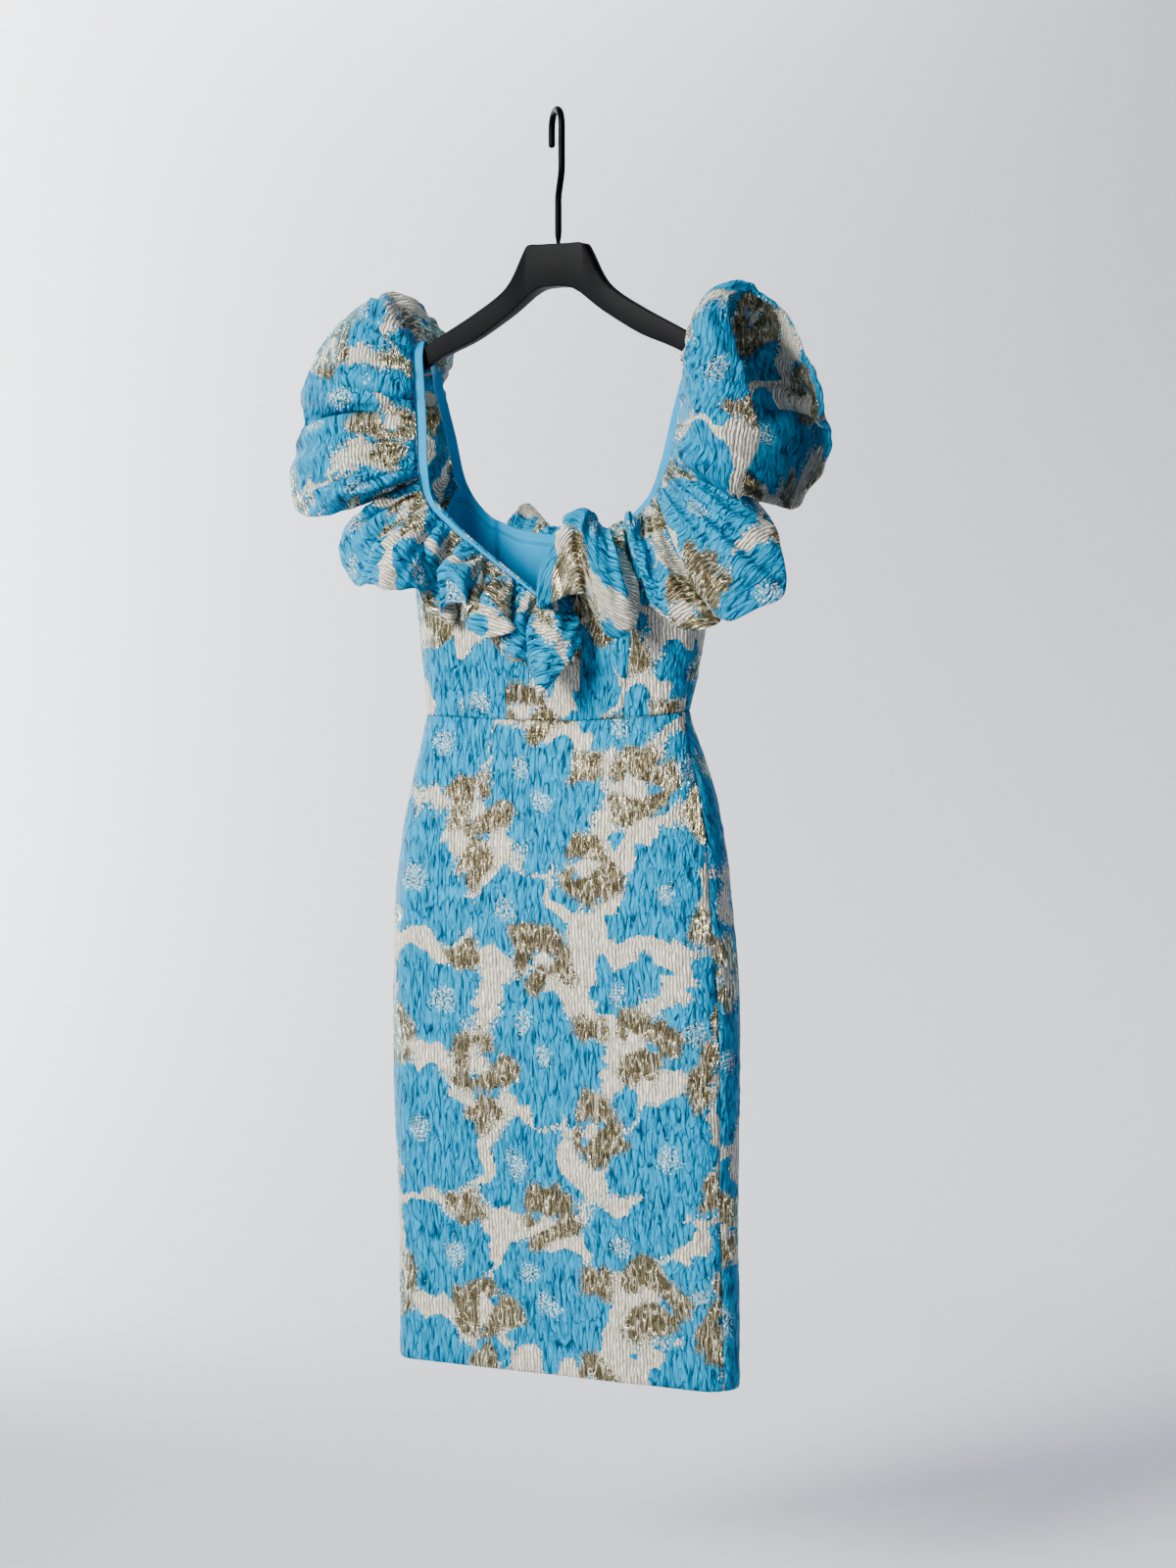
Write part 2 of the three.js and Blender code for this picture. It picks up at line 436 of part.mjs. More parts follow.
// Directions at a share of the way round: along the edge, out from the opening and off the body.
function neckFrame(curve, share, side) {
  const place = curve.getPointAt(share);
  const along = curve.getTangentAt(share);
  const lift = Math.max(0, place.z - LIFT.from) * LIFT.perMillimetre;
  const slope = side * Math.tan(rad(HANGER_TILT)) * along.y ** 4;
  const off = new THREE.Vector3(slope * lift, place.y, lift).normalize();
  off.addScaledVector(along, -off.dot(along)).normalize();
  const out = new THREE.Vector3().crossVectors(along, off).multiplyScalar(side);
  return { place, along, out, off };
}

function strap(name, side) {
  const curve = neckCurve(side);
  const share = (end, isBack) => {
    const miss = (t) => Math.abs(curve.getPointAt(t).z - end);
    let best = 0;
    for (let step = 0; step <= STRAP.searches; step += 1) {
      const t = step / STRAP.searches;
      if ((curve.getPointAt(t).y > 0) === isBack && miss(t) < miss(best)) best = t;
    }
    return best;
  };
  const [start, finishAt] = [share(STRAP.frontEnd, false), share(STRAP.backEnd, true)];
  const rings = [];
  for (let i = 0; i <= STRAP.steps; i += 1) {
    const at = THREE.MathUtils.lerp(start, finishAt, i / STRAP.steps);
    const { place, out, off } = neckFrame(curve, at, side);
    const corner = (across, up) => place.clone().addScaledVector(out, across * STRAP.width)
      .addScaledVector(off, up * STRAP.wall);
    rings.push([corner(0, -0.5), corner(1, -0.5), corner(1, 0.5), corner(0, 0.5)]);
  }
  return named(name, solidThrough(rings), FINISH.satin);
}

// ---------------------------------------------------------------- the ruffle
// Middle surface of one strip: each rib is a parabola from the neck seam to the free edge.
function ruffleGrid(folds, side) {
  const curve = neckCurve(side);
  const numbered = folds.map((fold, row) => ({ ...fold, row }));
  const columns = (folds.length - 1) * RUFFLE_STEPS.perFold;
  const grid = [];
  for (let i = 0; i <= columns; i += 1) {
    const row = i / RUFFLE_STEPS.perFold;
    const share = Math.min(Math.max(smooth(numbered, 'row', 'at', row), 0), 1);
    const { place, out, off } = neckFrame(curve, share, side);
    const inset = straight(SEWN_AT, 'share', 'inset', share);
    const lift = straight(SEWN_AT, 'share', 'lift', share);
    const root = place.addScaledVector(out, inset).addScaledVector(off, lift);
    const edge = new THREE.Vector3(...['x', 'y', 'z'].map((column) => smooth(numbered, 'row', column, row)));
    const belly = smooth(numbered, 'row', 'belly', row);
    const middle = root.clone().lerp(edge, 0.5).addScaledVector(off, 2 * belly);
    middle.z += smooth(numbered, 'row', 'rise', row);
    const rib = [];
    for (let j = 0; j <= RUFFLE_STEPS.across; j += 1) {
      const v = j / RUFFLE_STEPS.across;
      rib.push(new THREE.Vector3().addScaledVector(root, (1 - v) ** 2)
        .addScaledVector(middle, 2 * v * (1 - v)).addScaledVector(edge, v * v));
    }
    grid.push(rib);
  }
  return grid;
}

// The same grid moved along its own normals.
function movedOut(grid, distance) {
  const point = (i, j) => grid[Math.min(Math.max(i, 0), grid.length - 1)][
    Math.min(Math.max(j, 0), grid[0].length - 1)];
  return grid.map((column, i) => column.map((_, j) => {
    const along = point(i + 1, j).clone().sub(point(i - 1, j));
    const across = point(i, j + 1).clone().sub(point(i, j - 1));
    return point(i, j).clone().addScaledVector(along.cross(across).normalize(), distance);
  }));
}

function ruffle(name, folds, side) {
  const back = BACK_FOLDS.map((fold) => ({ ...fold, x: side * fold.x }));
  const grid = ruffleGrid([...folds, ...back], side);
  const faces = [RUFFLE_WALL / 2, -RUFFLE_WALL / 2].map((distance) => movedOut(grid, distance));
  return named(name, solidBetween(...faces), FINISH.brocade);
}

// ---------------------------------------------------------------- the concealed zip
function zipPieces() {
  const reach = ZIP.halfWidth / quarterLength(levelAt(SLIDER.top));
  const tape = (name, bottom, top, rows) => panel(name, {
    from: 2 - reach, to: 2 + reach, bottom, top, rows, columns: 2,
    depth: ZIP.depth, wall: ZIP.wall, look: FINISH.zip,
  });
  const end = THREE.MathUtils.lerp(waistAt(2), HEM, ZIP.skirtRows / SKIRT_ROWS);
  const back = onBody(2, SLIDER.top).y + SEAM_GAP;
  const middle = onBody(2, SLIDER.top).x;
  const body = new THREE.BoxGeometry(SLIDER.width, SLIDER.wall, SLIDER.height);
  const slider = named('zip_slider', body, FINISH.zipMetal);
  slider.position.set(middle, back + SLIDER.wall / 2, SLIDER.top - SLIDER.height / 2);
  const shape = new THREE.Shape();
  shape.moveTo(-PULL.width * 0.3, 0);
  shape.lineTo(PULL.width * 0.3, 0);
  shape.lineTo(PULL.width / 2, -PULL.length + PULL.width / 2);
  shape.absarc(0, -PULL.length + PULL.width / 2, PULL.width / 2, 0, -Math.PI, true);
  shape.lineTo(-PULL.width * 0.3, 0);
  const cut = { depth: PULL.wall, bevelEnabled: false, curveSegments: HALF_ROUND };
  const tab = new THREE.ExtrudeGeometry(shape, cut);
  const pull = named('zip_pull', tab, FINISH.zipMetal);
  pull.rotation.x = Math.PI / 2;
  pull.position.set(middle, back + SLIDER.wall + SEAM_GAP + PULL.wall, SLIDER.top - PULL.pivotDrop);
  return [tape('zip_tape_bodice', waistAt, topAt, BODICE_BACK_ROWS),
    tape('zip_tape_skirt', () => end, waistAt, ZIP.skirtRows), slider, pull];
}

// ---------------------------------------------------------------- the hanger
// A section with round corners across an arm.
function armSection({ x, top, bottom, depth }) {
  const height = top - bottom;
  const corner = Math.min(height, depth) * 0.3;
  const points = [];
  const corners = [[1, 1, 0], [-1, 1, 90], [-1, -1, 180], [1, -1, 270]];
  for (const [sideways, upwards, start] of corners) {
    for (const turn of [0, 45, 90]) {
      points.push(new THREE.Vector3(x,
        sideways * (depth / 2 - corner) + corner * Math.cos(rad(start + turn)),
        (top + bottom) / 2 + upwards * (height / 2 - corner) + corner * Math.sin(rad(start + turn))));
    }
  }
  return points;
}

function hangerBody() {
  const left = ARM.slice(1).reverse().map((row) => ({ ...row, x: -row.x }));
  return named('hanger_body', solidThrough([...left, ...ARM].map(armSection)), FINISH.hanger);
}

// The hook's wire: up from the block, a kink to the front, over the rail and down behind it.
function hangerHook() {
  const at = (reach, z) => hookDirection.clone().multiplyScalar(reach).setZ(z);
  const centre = -(HOOK.bend - ROD / 2);
  const places = [
    at(HOOK.stemOffset, HOOK.stemFoot), at(HOOK.stemOffset, -135), at(HOOK.stemOffset, -115),
    at(HOOK.stemOffset, HOOK.kinkLow - 4), at(HOOK.stemOffset + 2, HOOK.kinkLow + 3),
    at(HOOK.bend - 2, HOOK.kinkHigh - 3), at(HOOK.bend, HOOK.kinkHigh + 4), at(HOOK.bend, -45),
  ];
  const turns = 8;
  for (let k = 0; k <= turns; k += 1) {
    const angle = Math.PI * k / turns;
    places.push(at(HOOK.bend * Math.cos(angle), centre + HOOK.bend * Math.sin(angle)));
  }
  places.push(at(-HOOK.bend, HOOK.tipEnd + 8), at(-HOOK.bend, HOOK.tipEnd));
  const path = new THREE.CatmullRomCurve3(places, false, 'centripetal');
  const round = new THREE.Shape();
  round.absarc(0, 0, ROD / 2, 0, 2 * Math.PI, false);
  const wire = { steps: 56, extrudePath: path, bevelEnabled: false, curveSegments: HALF_ROUND };
  return named('hanger_hook', new THREE.ExtrudeGeometry(round, wire), FINISH.hook);
}

// ---------------------------------------------------------------- the whole part
const hung = new THREE.Group();
hung.position.copy(hookDirection).multiplyScalar(HOOK.stemOffset);
hung.add(hangerBody(), ...bodicePanels(), ...liningPanels(), ...skirtPanels());
hung.add(strap('strap_right', 1), strap('strap_left', -1));
hung.add(ruffle('ruffle_right', RIGHT_FOLDS, 1), ruffle('ruffle_left', LEFT_FOLDS, -1));
hung.add(...zipPieces());

const dress = new THREE.Group();
dress.add(hung, hangerHook());
export default dress;
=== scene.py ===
import functools
import math

import bpy
import numpy as np
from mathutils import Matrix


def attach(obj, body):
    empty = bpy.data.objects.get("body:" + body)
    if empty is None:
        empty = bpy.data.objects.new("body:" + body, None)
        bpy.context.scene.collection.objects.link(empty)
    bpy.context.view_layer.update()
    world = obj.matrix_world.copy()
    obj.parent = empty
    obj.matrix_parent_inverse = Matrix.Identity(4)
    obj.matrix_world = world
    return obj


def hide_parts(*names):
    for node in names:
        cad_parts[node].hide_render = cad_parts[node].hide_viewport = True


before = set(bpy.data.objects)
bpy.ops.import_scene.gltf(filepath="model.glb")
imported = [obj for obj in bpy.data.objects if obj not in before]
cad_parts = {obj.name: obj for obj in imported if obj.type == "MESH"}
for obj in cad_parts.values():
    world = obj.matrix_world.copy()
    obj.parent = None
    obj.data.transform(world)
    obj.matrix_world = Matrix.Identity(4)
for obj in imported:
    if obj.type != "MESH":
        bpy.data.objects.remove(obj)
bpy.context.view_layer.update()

# %% [markdown]
# ## Where things are
# Lengths below are millimetres about the upright line that the dress and the hanger share. The origin of
# the frame is the inside top of the hook, and the hook's stem stands a little to one side of it, in the
# slanted plane that the hook is bent in. One function moves finished points there and into metres.
# %% Hook, axis and units
MILLIMETRE = 0.001
HOOK = {"rod": 8, "bend": 20, "stem_offset": 6.5, "plane_turn": math.radians(-46), "stem_foot": -151.7,
        "kink_low": -96, "kink_high": -71, "tip_end": -38}
HOOK_WAY = np.array([math.cos(HOOK["plane_turn"]), math.sin(HOOK["plane_turn"]), 0])
AXIS = HOOK_WAY * HOOK["stem_offset"]


def to_frame(points):
    """Millimetres about the dress's own axis to metres in the shared frame."""
    return (np.asarray(points, float) + AXIS) * MILLIMETRE


print("the dress's axis is at", (AXIS * MILLIMETRE).round(5))

# %% [markdown]
# ## The camera
# The dress is seen from 27 degrees round to one side of its front, at chest height, with a long lens that
# keeps its sides nearly parallel.
# %% Camera
CAMERA_TURN = math.radians(27)
CAMERA_DIP = math.radians(2.83)
camera_data = bpy.data.cameras.new("camera")
camera_data.sensor_width = 36
camera_data.lens = 77.6
camera = bpy.data.objects.new("camera", camera_data)
camera.location = (1.82563, -3.50298, -0.58329)
camera.rotation_euler = (math.pi / 2 - CAMERA_DIP, 0, CAMERA_TURN)
bpy.context.collection.objects.link(camera)
bpy.context.scene.camera = camera
print("camera is", round(math.dist(camera.location, (0, 0, -0.8)), 2), "m from the dress")

# %% [markdown]
# ## Tables and the lines between their rows
# A dress is described by a few measured rows: a width at each height, a fold at each place. `smooth`
# draws a cubic through the rows, so a short table gives a line with no corners, for whole arrays at once.
# `noise` gives the small unevenness that cloth always has, and its seed makes it the same every time.
# %% Tables


def table(columns, rows):
    """The rows' numbers as one array for each named column, with the row's own number as "row"."""
    named = dict(zip(columns.split(), np.array(rows, float).T))
    named["row"] = np.arange(len(rows), dtype=float)
    return named


def smooth(rows, key, column, place):
    """A cubic from row to row. It leaves each row with the slope of the line between its neighbours."""
    sign = 1 if rows[key][-1] > rows[key][0] else -1
    x, y, place = sign * rows[key], rows[column], sign * np.asarray(place, float)
    low, high = np.maximum(np.arange(len(x)) - 1, 0), np.minimum(np.arange(len(x)) + 1, len(x) - 1)
    slope = (y[high] - y[low]) / (x[high] - x[low])
    i = np.clip(np.searchsorted(x, place, side="right") - 1, 0, len(x) - 2)
    step = x[i + 1] - x[i]
    t = np.clip((place - x[i]) / step, 0, 1)
    rise = t * t * (3 - 2 * t)
    return ((1 - rise) * y[i] + rise * y[i + 1]
            + step * (t * (1 - t) ** 2 * slope[i] - t * t * (1 - t) * slope[i + 1]))


def noise(x, y, seed):
    """Random heights from -1 to 1 on a grid of whole numbers, blended smoothly between them."""
    cells = 256
    heights = np.random.default_rng(seed).uniform(-1, 1, (cells, cells))
    column, line = np.floor(x).astype(int), np.floor(y).astype(int)
    across, up = x - column, y - line
    across, up = across * across * (3 - 2 * across), up * up * (3 - 2 * up)

    def on_line(line):
        """Along one line of the grid, from the height at the left of a point to the one at its right."""
        left, right = heights[column % cells, line % cells], heights[(column + 1) % cells, line % cells]
        return left * (1 - across) + right * across

    return on_line(line) * (1 - up) + on_line(line + 1) * up


print("noise runs from", noise(np.arange(0, 99, 0.3), np.arange(0, 99, 0.3), 1).min().round(2))

# %% [markdown]
# ## From arrays to a mesh
# Every cloth piece is a closed wall: an outer grid of points, an inner one, and the rim between them. The
# faces are numbered with array arithmetic and turned round if the body's volume comes out negative. The
# cloth's own coordinates go with each point as a UV map, and the weave's fields as attributes.
# %% Closed walls


def wall_faces(columns, lines):
    """Corners of every quad of a wall whose two grids have this many columns and lines."""
    number = np.arange(2 * columns * lines).reshape(2, columns, lines)
    outer, inner = number

    def quads(a, b, c, d):
        """A row of four corners for each place in four equal arrays."""
        return np.stack([a.ravel(), b.ravel(), c.ravel(), d.ravel()], axis=1)

    return np.concatenate([
        quads(outer[:-1, :-1], outer[1:, :-1], outer[1:, 1:], outer[:-1, 1:]),
        quads(inner[:-1, :-1], inner[:-1, 1:], inner[1:, 1:], inner[1:, :-1]),
        quads(inner[:-1, 0], inner[1:, 0], outer[1:, 0], outer[:-1, 0]),
        quads(outer[:-1, -1], outer[1:, -1], inner[1:, -1], inner[:-1, -1]),
        quads(outer[0, :-1], outer[0, 1:], inner[0, 1:], inner[0, :-1]),
        quads(inner[-1, :-1], inner[-1, 1:], outer[-1, 1:], outer[-1, :-1]),
    ])


def facing_out(points, faces):
    """The faces, turned round if the body they close has a negative volume."""
    a, b, c, d = (points[faces[:, k]] for k in range(4))
    volume = (np.cross(a, b) * c).sum() + (np.cross(a, c) * d).sum()
    return faces if volume > 0 else faces[:, ::-1]


def new_piece(name, points, faces, material, solid):
    """A smooth-shaded piece that rides on the dress and stands for the named solid."""
    mesh = bpy.data.meshes.new(name)
    faces = facing_out(points, faces)
    mesh.vertices.add(len(points))
    mesh.vertices.foreach_set("co", to_frame(points).astype(np.float32).ravel())
    mesh.loops.add(faces.size)
    mesh.loops.foreach_set("vertex_index", faces.astype(np.int32).ravel())
    mesh.polygons.add(len(faces))
    mesh.polygons.foreach_set("loop_start", np.arange(0, faces.size, faces.shape[1], dtype=np.int32))
    mesh.polygons.foreach_set("use_smooth", np.ones(len(faces), bool))
    mesh.update(calc_edges=True)
    mesh.validate()
    mesh.materials.append(material)
    piece = bpy.data.objects.new(name, mesh)
    bpy.context.collection.objects.link(piece)
    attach(piece, "dress")
    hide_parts(solid)
    return piece


def wall_piece(name, outer, inner, material, solid):
    """A closed wall between two grids of points."""
    points = np.concatenate([grid.reshape(-1, 3) for grid in (outer, inner)])
    return new_piece(name, points, wall_faces(*outer.shape[:2]), material, solid)


def give_layers(piece, across, along, layers):
    """The cloth's coordinates in metres as the UV map "cloth", and each named layer as an attribute."""
    mesh = piece.data
    corners = np.empty(len(mesh.loops), np.int32)
    mesh.loops.foreach_get("vertex_index", corners)
    uv = np.stack([across, along], axis=1)[corners] * MILLIMETRE
    mesh.uv_layers.new(name="cloth").data.foreach_set("uv", uv.astype(np.float32).ravel())
    for name, values in layers.items():
        layer = mesh.attributes.new(name, "FLOAT", "POINT")
        layer.data.foreach_set("value", values.astype(np.float32))


print("a wall of 3 by 3 points has", len(wall_faces(3, 3)), "faces")

# %% [markdown]
# The straps and the hanger are swept: a ring of points carried along a path, ring after ring, and closed
# across both ends.
# %% Swept bodies


def sweep_faces(rings, sides):
    """Quads of a body swept through rings of an even number of points, closed by a strip across each end."""
    number = np.arange(rings * sides).reshape(rings, sides)
    turned = np.roll(number, -1, axis=1)
    skin = np.stack([number[:-1].ravel(), turned[:-1].ravel(),
                     turned[1:].ravel(), number[1:].ravel()], axis=1)
    k = np.arange(sides // 2 - 1)
    strip = np.stack([k, k + 1, sides - 2 - k, sides - 1 - k], axis=1)
    return np.concatenate([skin, number[0][strip[:, ::-1]], number[-1][strip]])


print("a sweep of 3 rings of 8 points has", len(sweep_faces(3, 8)), "faces")

# %% [markdown]
# ## Nodes and colours
# One function adds a node, sets its properties and joins its inputs, and every material uses it. Colours
# are written as sRGB hex, as a dyer's chart gives them, and turned to the linear values that light needs.
# %% Node and colour helpers


def colour(code):
    """An sRGB hex code as linear red, green, blue and alpha."""
    parts = [int(code[k:k + 2], 16) / 255 for k in (1, 3, 5)]
    return (*[part / 12.92 if part <= 0.04045 else ((part + 0.055) / 1.055) ** 2.4 for part in parts], 1.0)


def add(tree, kind, inputs=(), out=0, stops=(), **properties):
    """A new node, and one of its outputs given back. Each input is a value, or another node's output to
    join, by name, by number or in order. `stops` are a colour ramp's positions and hex codes."""
    node = tree.nodes.new("ShaderNode" + kind)
    for name, value in properties.items():
        setattr(node, name, value)
    for key, value in inputs.items() if isinstance(inputs, dict) else enumerate(inputs):
        if isinstance(value, bpy.types.NodeSocket):
            tree.links.new(value, node.inputs[key])
        else:
            node.inputs[key].default_value = value
    if stops:
        elements = node.color_ramp.elements
        for element, (position, code) in zip(list(elements), (stops[0], stops[-1])):
            element.position, element.color = position, colour(code)
        for position, code in stops[1:-1]:
            elements.new(position).color = colour(code)
    return node.outputs[out] if len(node.outputs) else None


def new_material(name):
    """An empty material, and the function that adds a node to it."""
    material = bpy.data.materials.new(name)
    material.use_nodes = True
    material.node_tree.nodes.clear()
    return material, functools.partial(add, material.node_tree)


print("mid grey is", [round(value, 3) for value in colour("#808080")[:3]])

# %% [markdown]
# ## The brocade
# The cloth is a crinkled jacquard: clusters of cyan satin flowers with torn, threadlike edges, rings and
# patches of gilt thread, and a cream ground with fine upright ribs that winds between the clusters. A
# painted texture would need an image. Instead the large shapes are distances to short tables of flowers,
# rings and patches, computed at each point of the cloth, and the shader adds the ragged edges, the flecks
# and the crinkle. Each cluster is grown until only a channel of ground is left between it and the next.
# %% Flowers, rings and patches of one repeat
REPEAT = {"across": 460.0, "along": 300.0}
FLOWERS = table("cluster across along width height petals turn", [
    (0, 66, 72, 64, 60, 8, 0.3), (0, 30, 112, 40, 38, 5, 1.2), (0, 120, 52, 34, 40, 5, 0.6),
    (1, 236, 168, 74, 66, 9, 0.9), (1, 208, 206, 46, 40, 6, 2.0), (1, 280, 140, 44, 46, 5, 0.2),
    (2, 392, 62, 60, 64, 7, 0.7), (2, 352, 30, 40, 34, 5, 1.9), (2, 424, 104, 38, 44, 6, 0.4),
    (3, 104, 226, 54, 44, 7, 2.2), (3, 60, 250, 36, 30, 5, 0.9), (4, 330, 250, 50, 40, 6, 0.1),
    (4, 372, 276, 34, 30, 5, 1.3), (5, 420, 206, 48, 46, 7, 0.5), (5, 446, 244, 34, 26, 5, 1.0),
    (6, 196, 34, 46, 36, 6, 1.4), (6, 236, 10, 32, 26, 5, 0.8), (7, 160, 120, 24, 22, 5, 0.3),
    (8, 334, 126, 30, 26, 5, 1.1), (9, 300, 60, 28, 30, 5, 0.2),
])
GILT_RINGS = table("across along radius band gap", [
    (150, 158, 26, 13, 0.6), (300, 86, 24, 12, 2.6), (232, 276, 26, 14, 4.0),
    (458, 160, 25, 13, 5.3), (14, 206, 22, 12, 1.5), (362, 190, 28, 14, 3.4),
])
GILT_PATCHES = table("across along width height", [
    (150, 92, 20, 24), (12, 28, 24, 18), (128, 284, 24, 16), (296, 204, 22, 14), (452, 20, 18, 20),
])
GROWTH = 17.0          # millimetres added all round each cluster of flowers
CHANNEL = 16.0         # mean width of the ground between two clusters
CHANNEL_SWAY = 27.0    # how much that width changes from place to place
LARGE_FLOWER = 44      # half width from which a flower has a speckled heart
HEART = 9              # half width of that heart
SPECKLED = 8           # how far stray light threads are strewn round a heart
FRAYED = 7             # how far the flowers break up beside the gilt
PETAL_WAVE = {"petal": 0.16, "notch": 0.07}    # heights of the waves round a flower, to its radius
WANDER = ((9, 60), (5, 28))    # (how far, over what length) outlines are pulled about, coarse and fine
FAR = 99.0             # stands for "nowhere near"
print(len(FLOWERS["row"]), "flowers in", len(set(FLOWERS["cluster"])), "clusters,",
      len(GILT_RINGS["row"]), "rings and", len(GILT_PATCHES["row"]), "patches")

# %% [markdown]
# Each shape is a field: how far inside it a point lies, in millimetres. A flower's is its radius at that
# angle, with petals as waves round it, less the distance to its middle. A cluster takes the greatest of
# its flowers. The same cloth is creased in its finishing, and that relief is a height in millimetres.
# %% Fields of the weave, and the crinkle


def rows_of(rows):
    """The table's rows one at a time, each as a dictionary."""
    for number in rows["row"].astype(int):
        yield {column: values[number] for column, values in rows.items()}


def weave(across, along):
    """Fields of the weave at points of the cloth. "flower" and "gilt" are roughly how far inside a flower
    or a gilt patch a point lies, "eye" how far inside a ring's cream middle. "speckle" is how thickly
    stray light threads are strewn and "spray" how much an edge breaks up into flecks, from 0 to 1."""
    def pulled(seed):
        """Millimetres of coarse and fine unevenness, added up."""
        return sum(far * noise(across / length, along / length, seed + k)
                   for k, (far, length) in enumerate(WANDER))

    x, y = across + pulled(7), along + pulled(9)

    def offset(row):
        """The way to a point from the nearest repeat of a row's own place."""
        return [(place - row[key] + REPEAT[key] / 2) % REPEAT[key] - REPEAT[key] / 2
                for place, key in ((x, "across"), (y, "along"))]

    gilt, eye, heart = (np.full(x.shape, start) for start in (-FAR, -FAR, FAR))
    clusters = {}
    for row in rows_of(FLOWERS):
        dx, dy = offset(row)
        wide, high = dx / row["width"], dy / row["height"]
        angle, reach = np.arctan2(high, wide), np.hypot(wide, high)
        petals = (1 + PETAL_WAVE["petal"] * np.cos(row["petals"] * (angle + row["turn"]))
                  + PETAL_WAVE["notch"] * np.cos((2 * row["petals"] + 1) * angle + 2 * row["turn"]))
        head = (petals - reach) * math.sqrt(row["width"] * row["height"])
        clusters[row["cluster"]] = np.maximum(clusters.get(row["cluster"], -FAR), head)
        if row["width"] > LARGE_FLOWER:
            heart = np.minimum(heart, np.hypot(dx, dy) - HEART)
    for row in rows_of(GILT_RINGS):
        dx, dy = offset(row)
        angle, reach = np.arctan2(dy, dx), np.hypot(dx, dy)
        opening = np.exp(-((angle - row["gap"] + math.pi) % (2 * math.pi) - math.pi) ** 2 / 0.35)
        band = row["band"] * (1.0 - 1.2 * opening + 0.4 * np.cos(2 * angle + 2 * row["row"])
                              + 0.25 * np.cos(5 * angle + row["row"]))
        gilt = np.maximum(gilt, band - np.abs(reach - row["radius"] * (1 + 0.2 * np.cos(3 * angle))))
        eye = np.maximum(eye, row["radius"] - 1.25 * row["band"] - reach)
    for row in rows_of(GILT_PATCHES):
        dx, dy = offset(row)
        angle, reach = np.arctan2(dy, dx), np.hypot(dx / row["width"], dy / row["height"])
        shape = (1 + 0.2 * np.cos(4 * angle + row["row"]) - reach) * math.sqrt(row["width"] * row["height"])
        gilt = np.maximum(gilt, shape)
    second, first = np.sort(np.stack(list(clusters.values())), axis=0)[-2:]
    channel = CHANNEL + CHANNEL_SWAY * noise(across / 55, along / 48, 13)
    flower = np.minimum(first + GROWTH, first - second - channel)
    gilt = gilt + 3 + 5 * noise(across / 13, along / 13, 11)
    speckle = np.exp(-(np.maximum(heart, 0) / SPECKLED) ** 2)
    spray = np.maximum(np.exp(-(np.maximum(-gilt - 3, 0) / FRAYED) ** 2),
                       np.clip(3.2 * noise(across / 42 + 30, along / 42, 12) - 0.5, 0, 1))
    return {"flower": flower, "gilt": gilt, "eye": eye, "speckle": speckle, "spray": spray}


def crinkle(across, along):
    """Height of the crinkled relief in millimetres: narrow ridges that wander upright along the lines
    where a stretched noise changes sign, over a broader swell."""
    bend = 5 * noise(across / 24, along / 15, 21)
    ridge = (1 - np.abs(noise((across + bend) / 9, along / 30, 22))) ** 3
    second = (1 - np.abs(noise((across - bend) / 12, along / 40, 25))) ** 4
    swell = noise((across + bend) / 17, along / 42, 23)
    return 1.25 * np.maximum(ridge, 0.8 * second) + 0.7 * swell - 0.6


sample_across, sample_along = np.meshgrid(np.arange(0, 460, 4.0), np.arange(0, 300, 4.0))
flower_share = float((weave(sample_across, sample_along)["flower"] > 0).mean())
print("flowers cover", round(flower_share, 2), "of the cloth")

# %% [markdown]
# The brocade's shader reads those fields. Satin floats of cyan rayon have a soft gloss and a strong
# crinkle, the cream silk ground is duller and has fine ribs, and the gilt is metal foil wound on thread, so
# it is metallic with a broken sparkle, to which painted highlights and shade along its crests add. A woven
# shape can only end where a thread does, so noises that are longer up the warp than across it are added to
# each field before it is cut. The creases are long, thin and upright: they follow the lines where a
# stretched noise crosses its middle value. The cyan is painted darker along them as shade and lighter on
# the wrinkle's swells as highlight, and the cream is painted darker in its rib valleys as shade.
# %% Brocade
THREAD = 1.7           # width of one float of the weave, drawn a little coarser than life so that it shows
RIB = 4.2              # spacing of the cream ground's ribs, coarser than life too
CRINKLE = {"spacing": 6.8, "bend": 13, "swerve": 30}
RELIEF = 2.1           # height that a relief of 1 stands for


def grains_a_metre(width, length):
    """Scale of a noise on the cloth, from the width and the length of its grains in millimetres."""
    return (1 / (width * MILLIMETRE), 1 / (length * MILLIMETRE), 1)


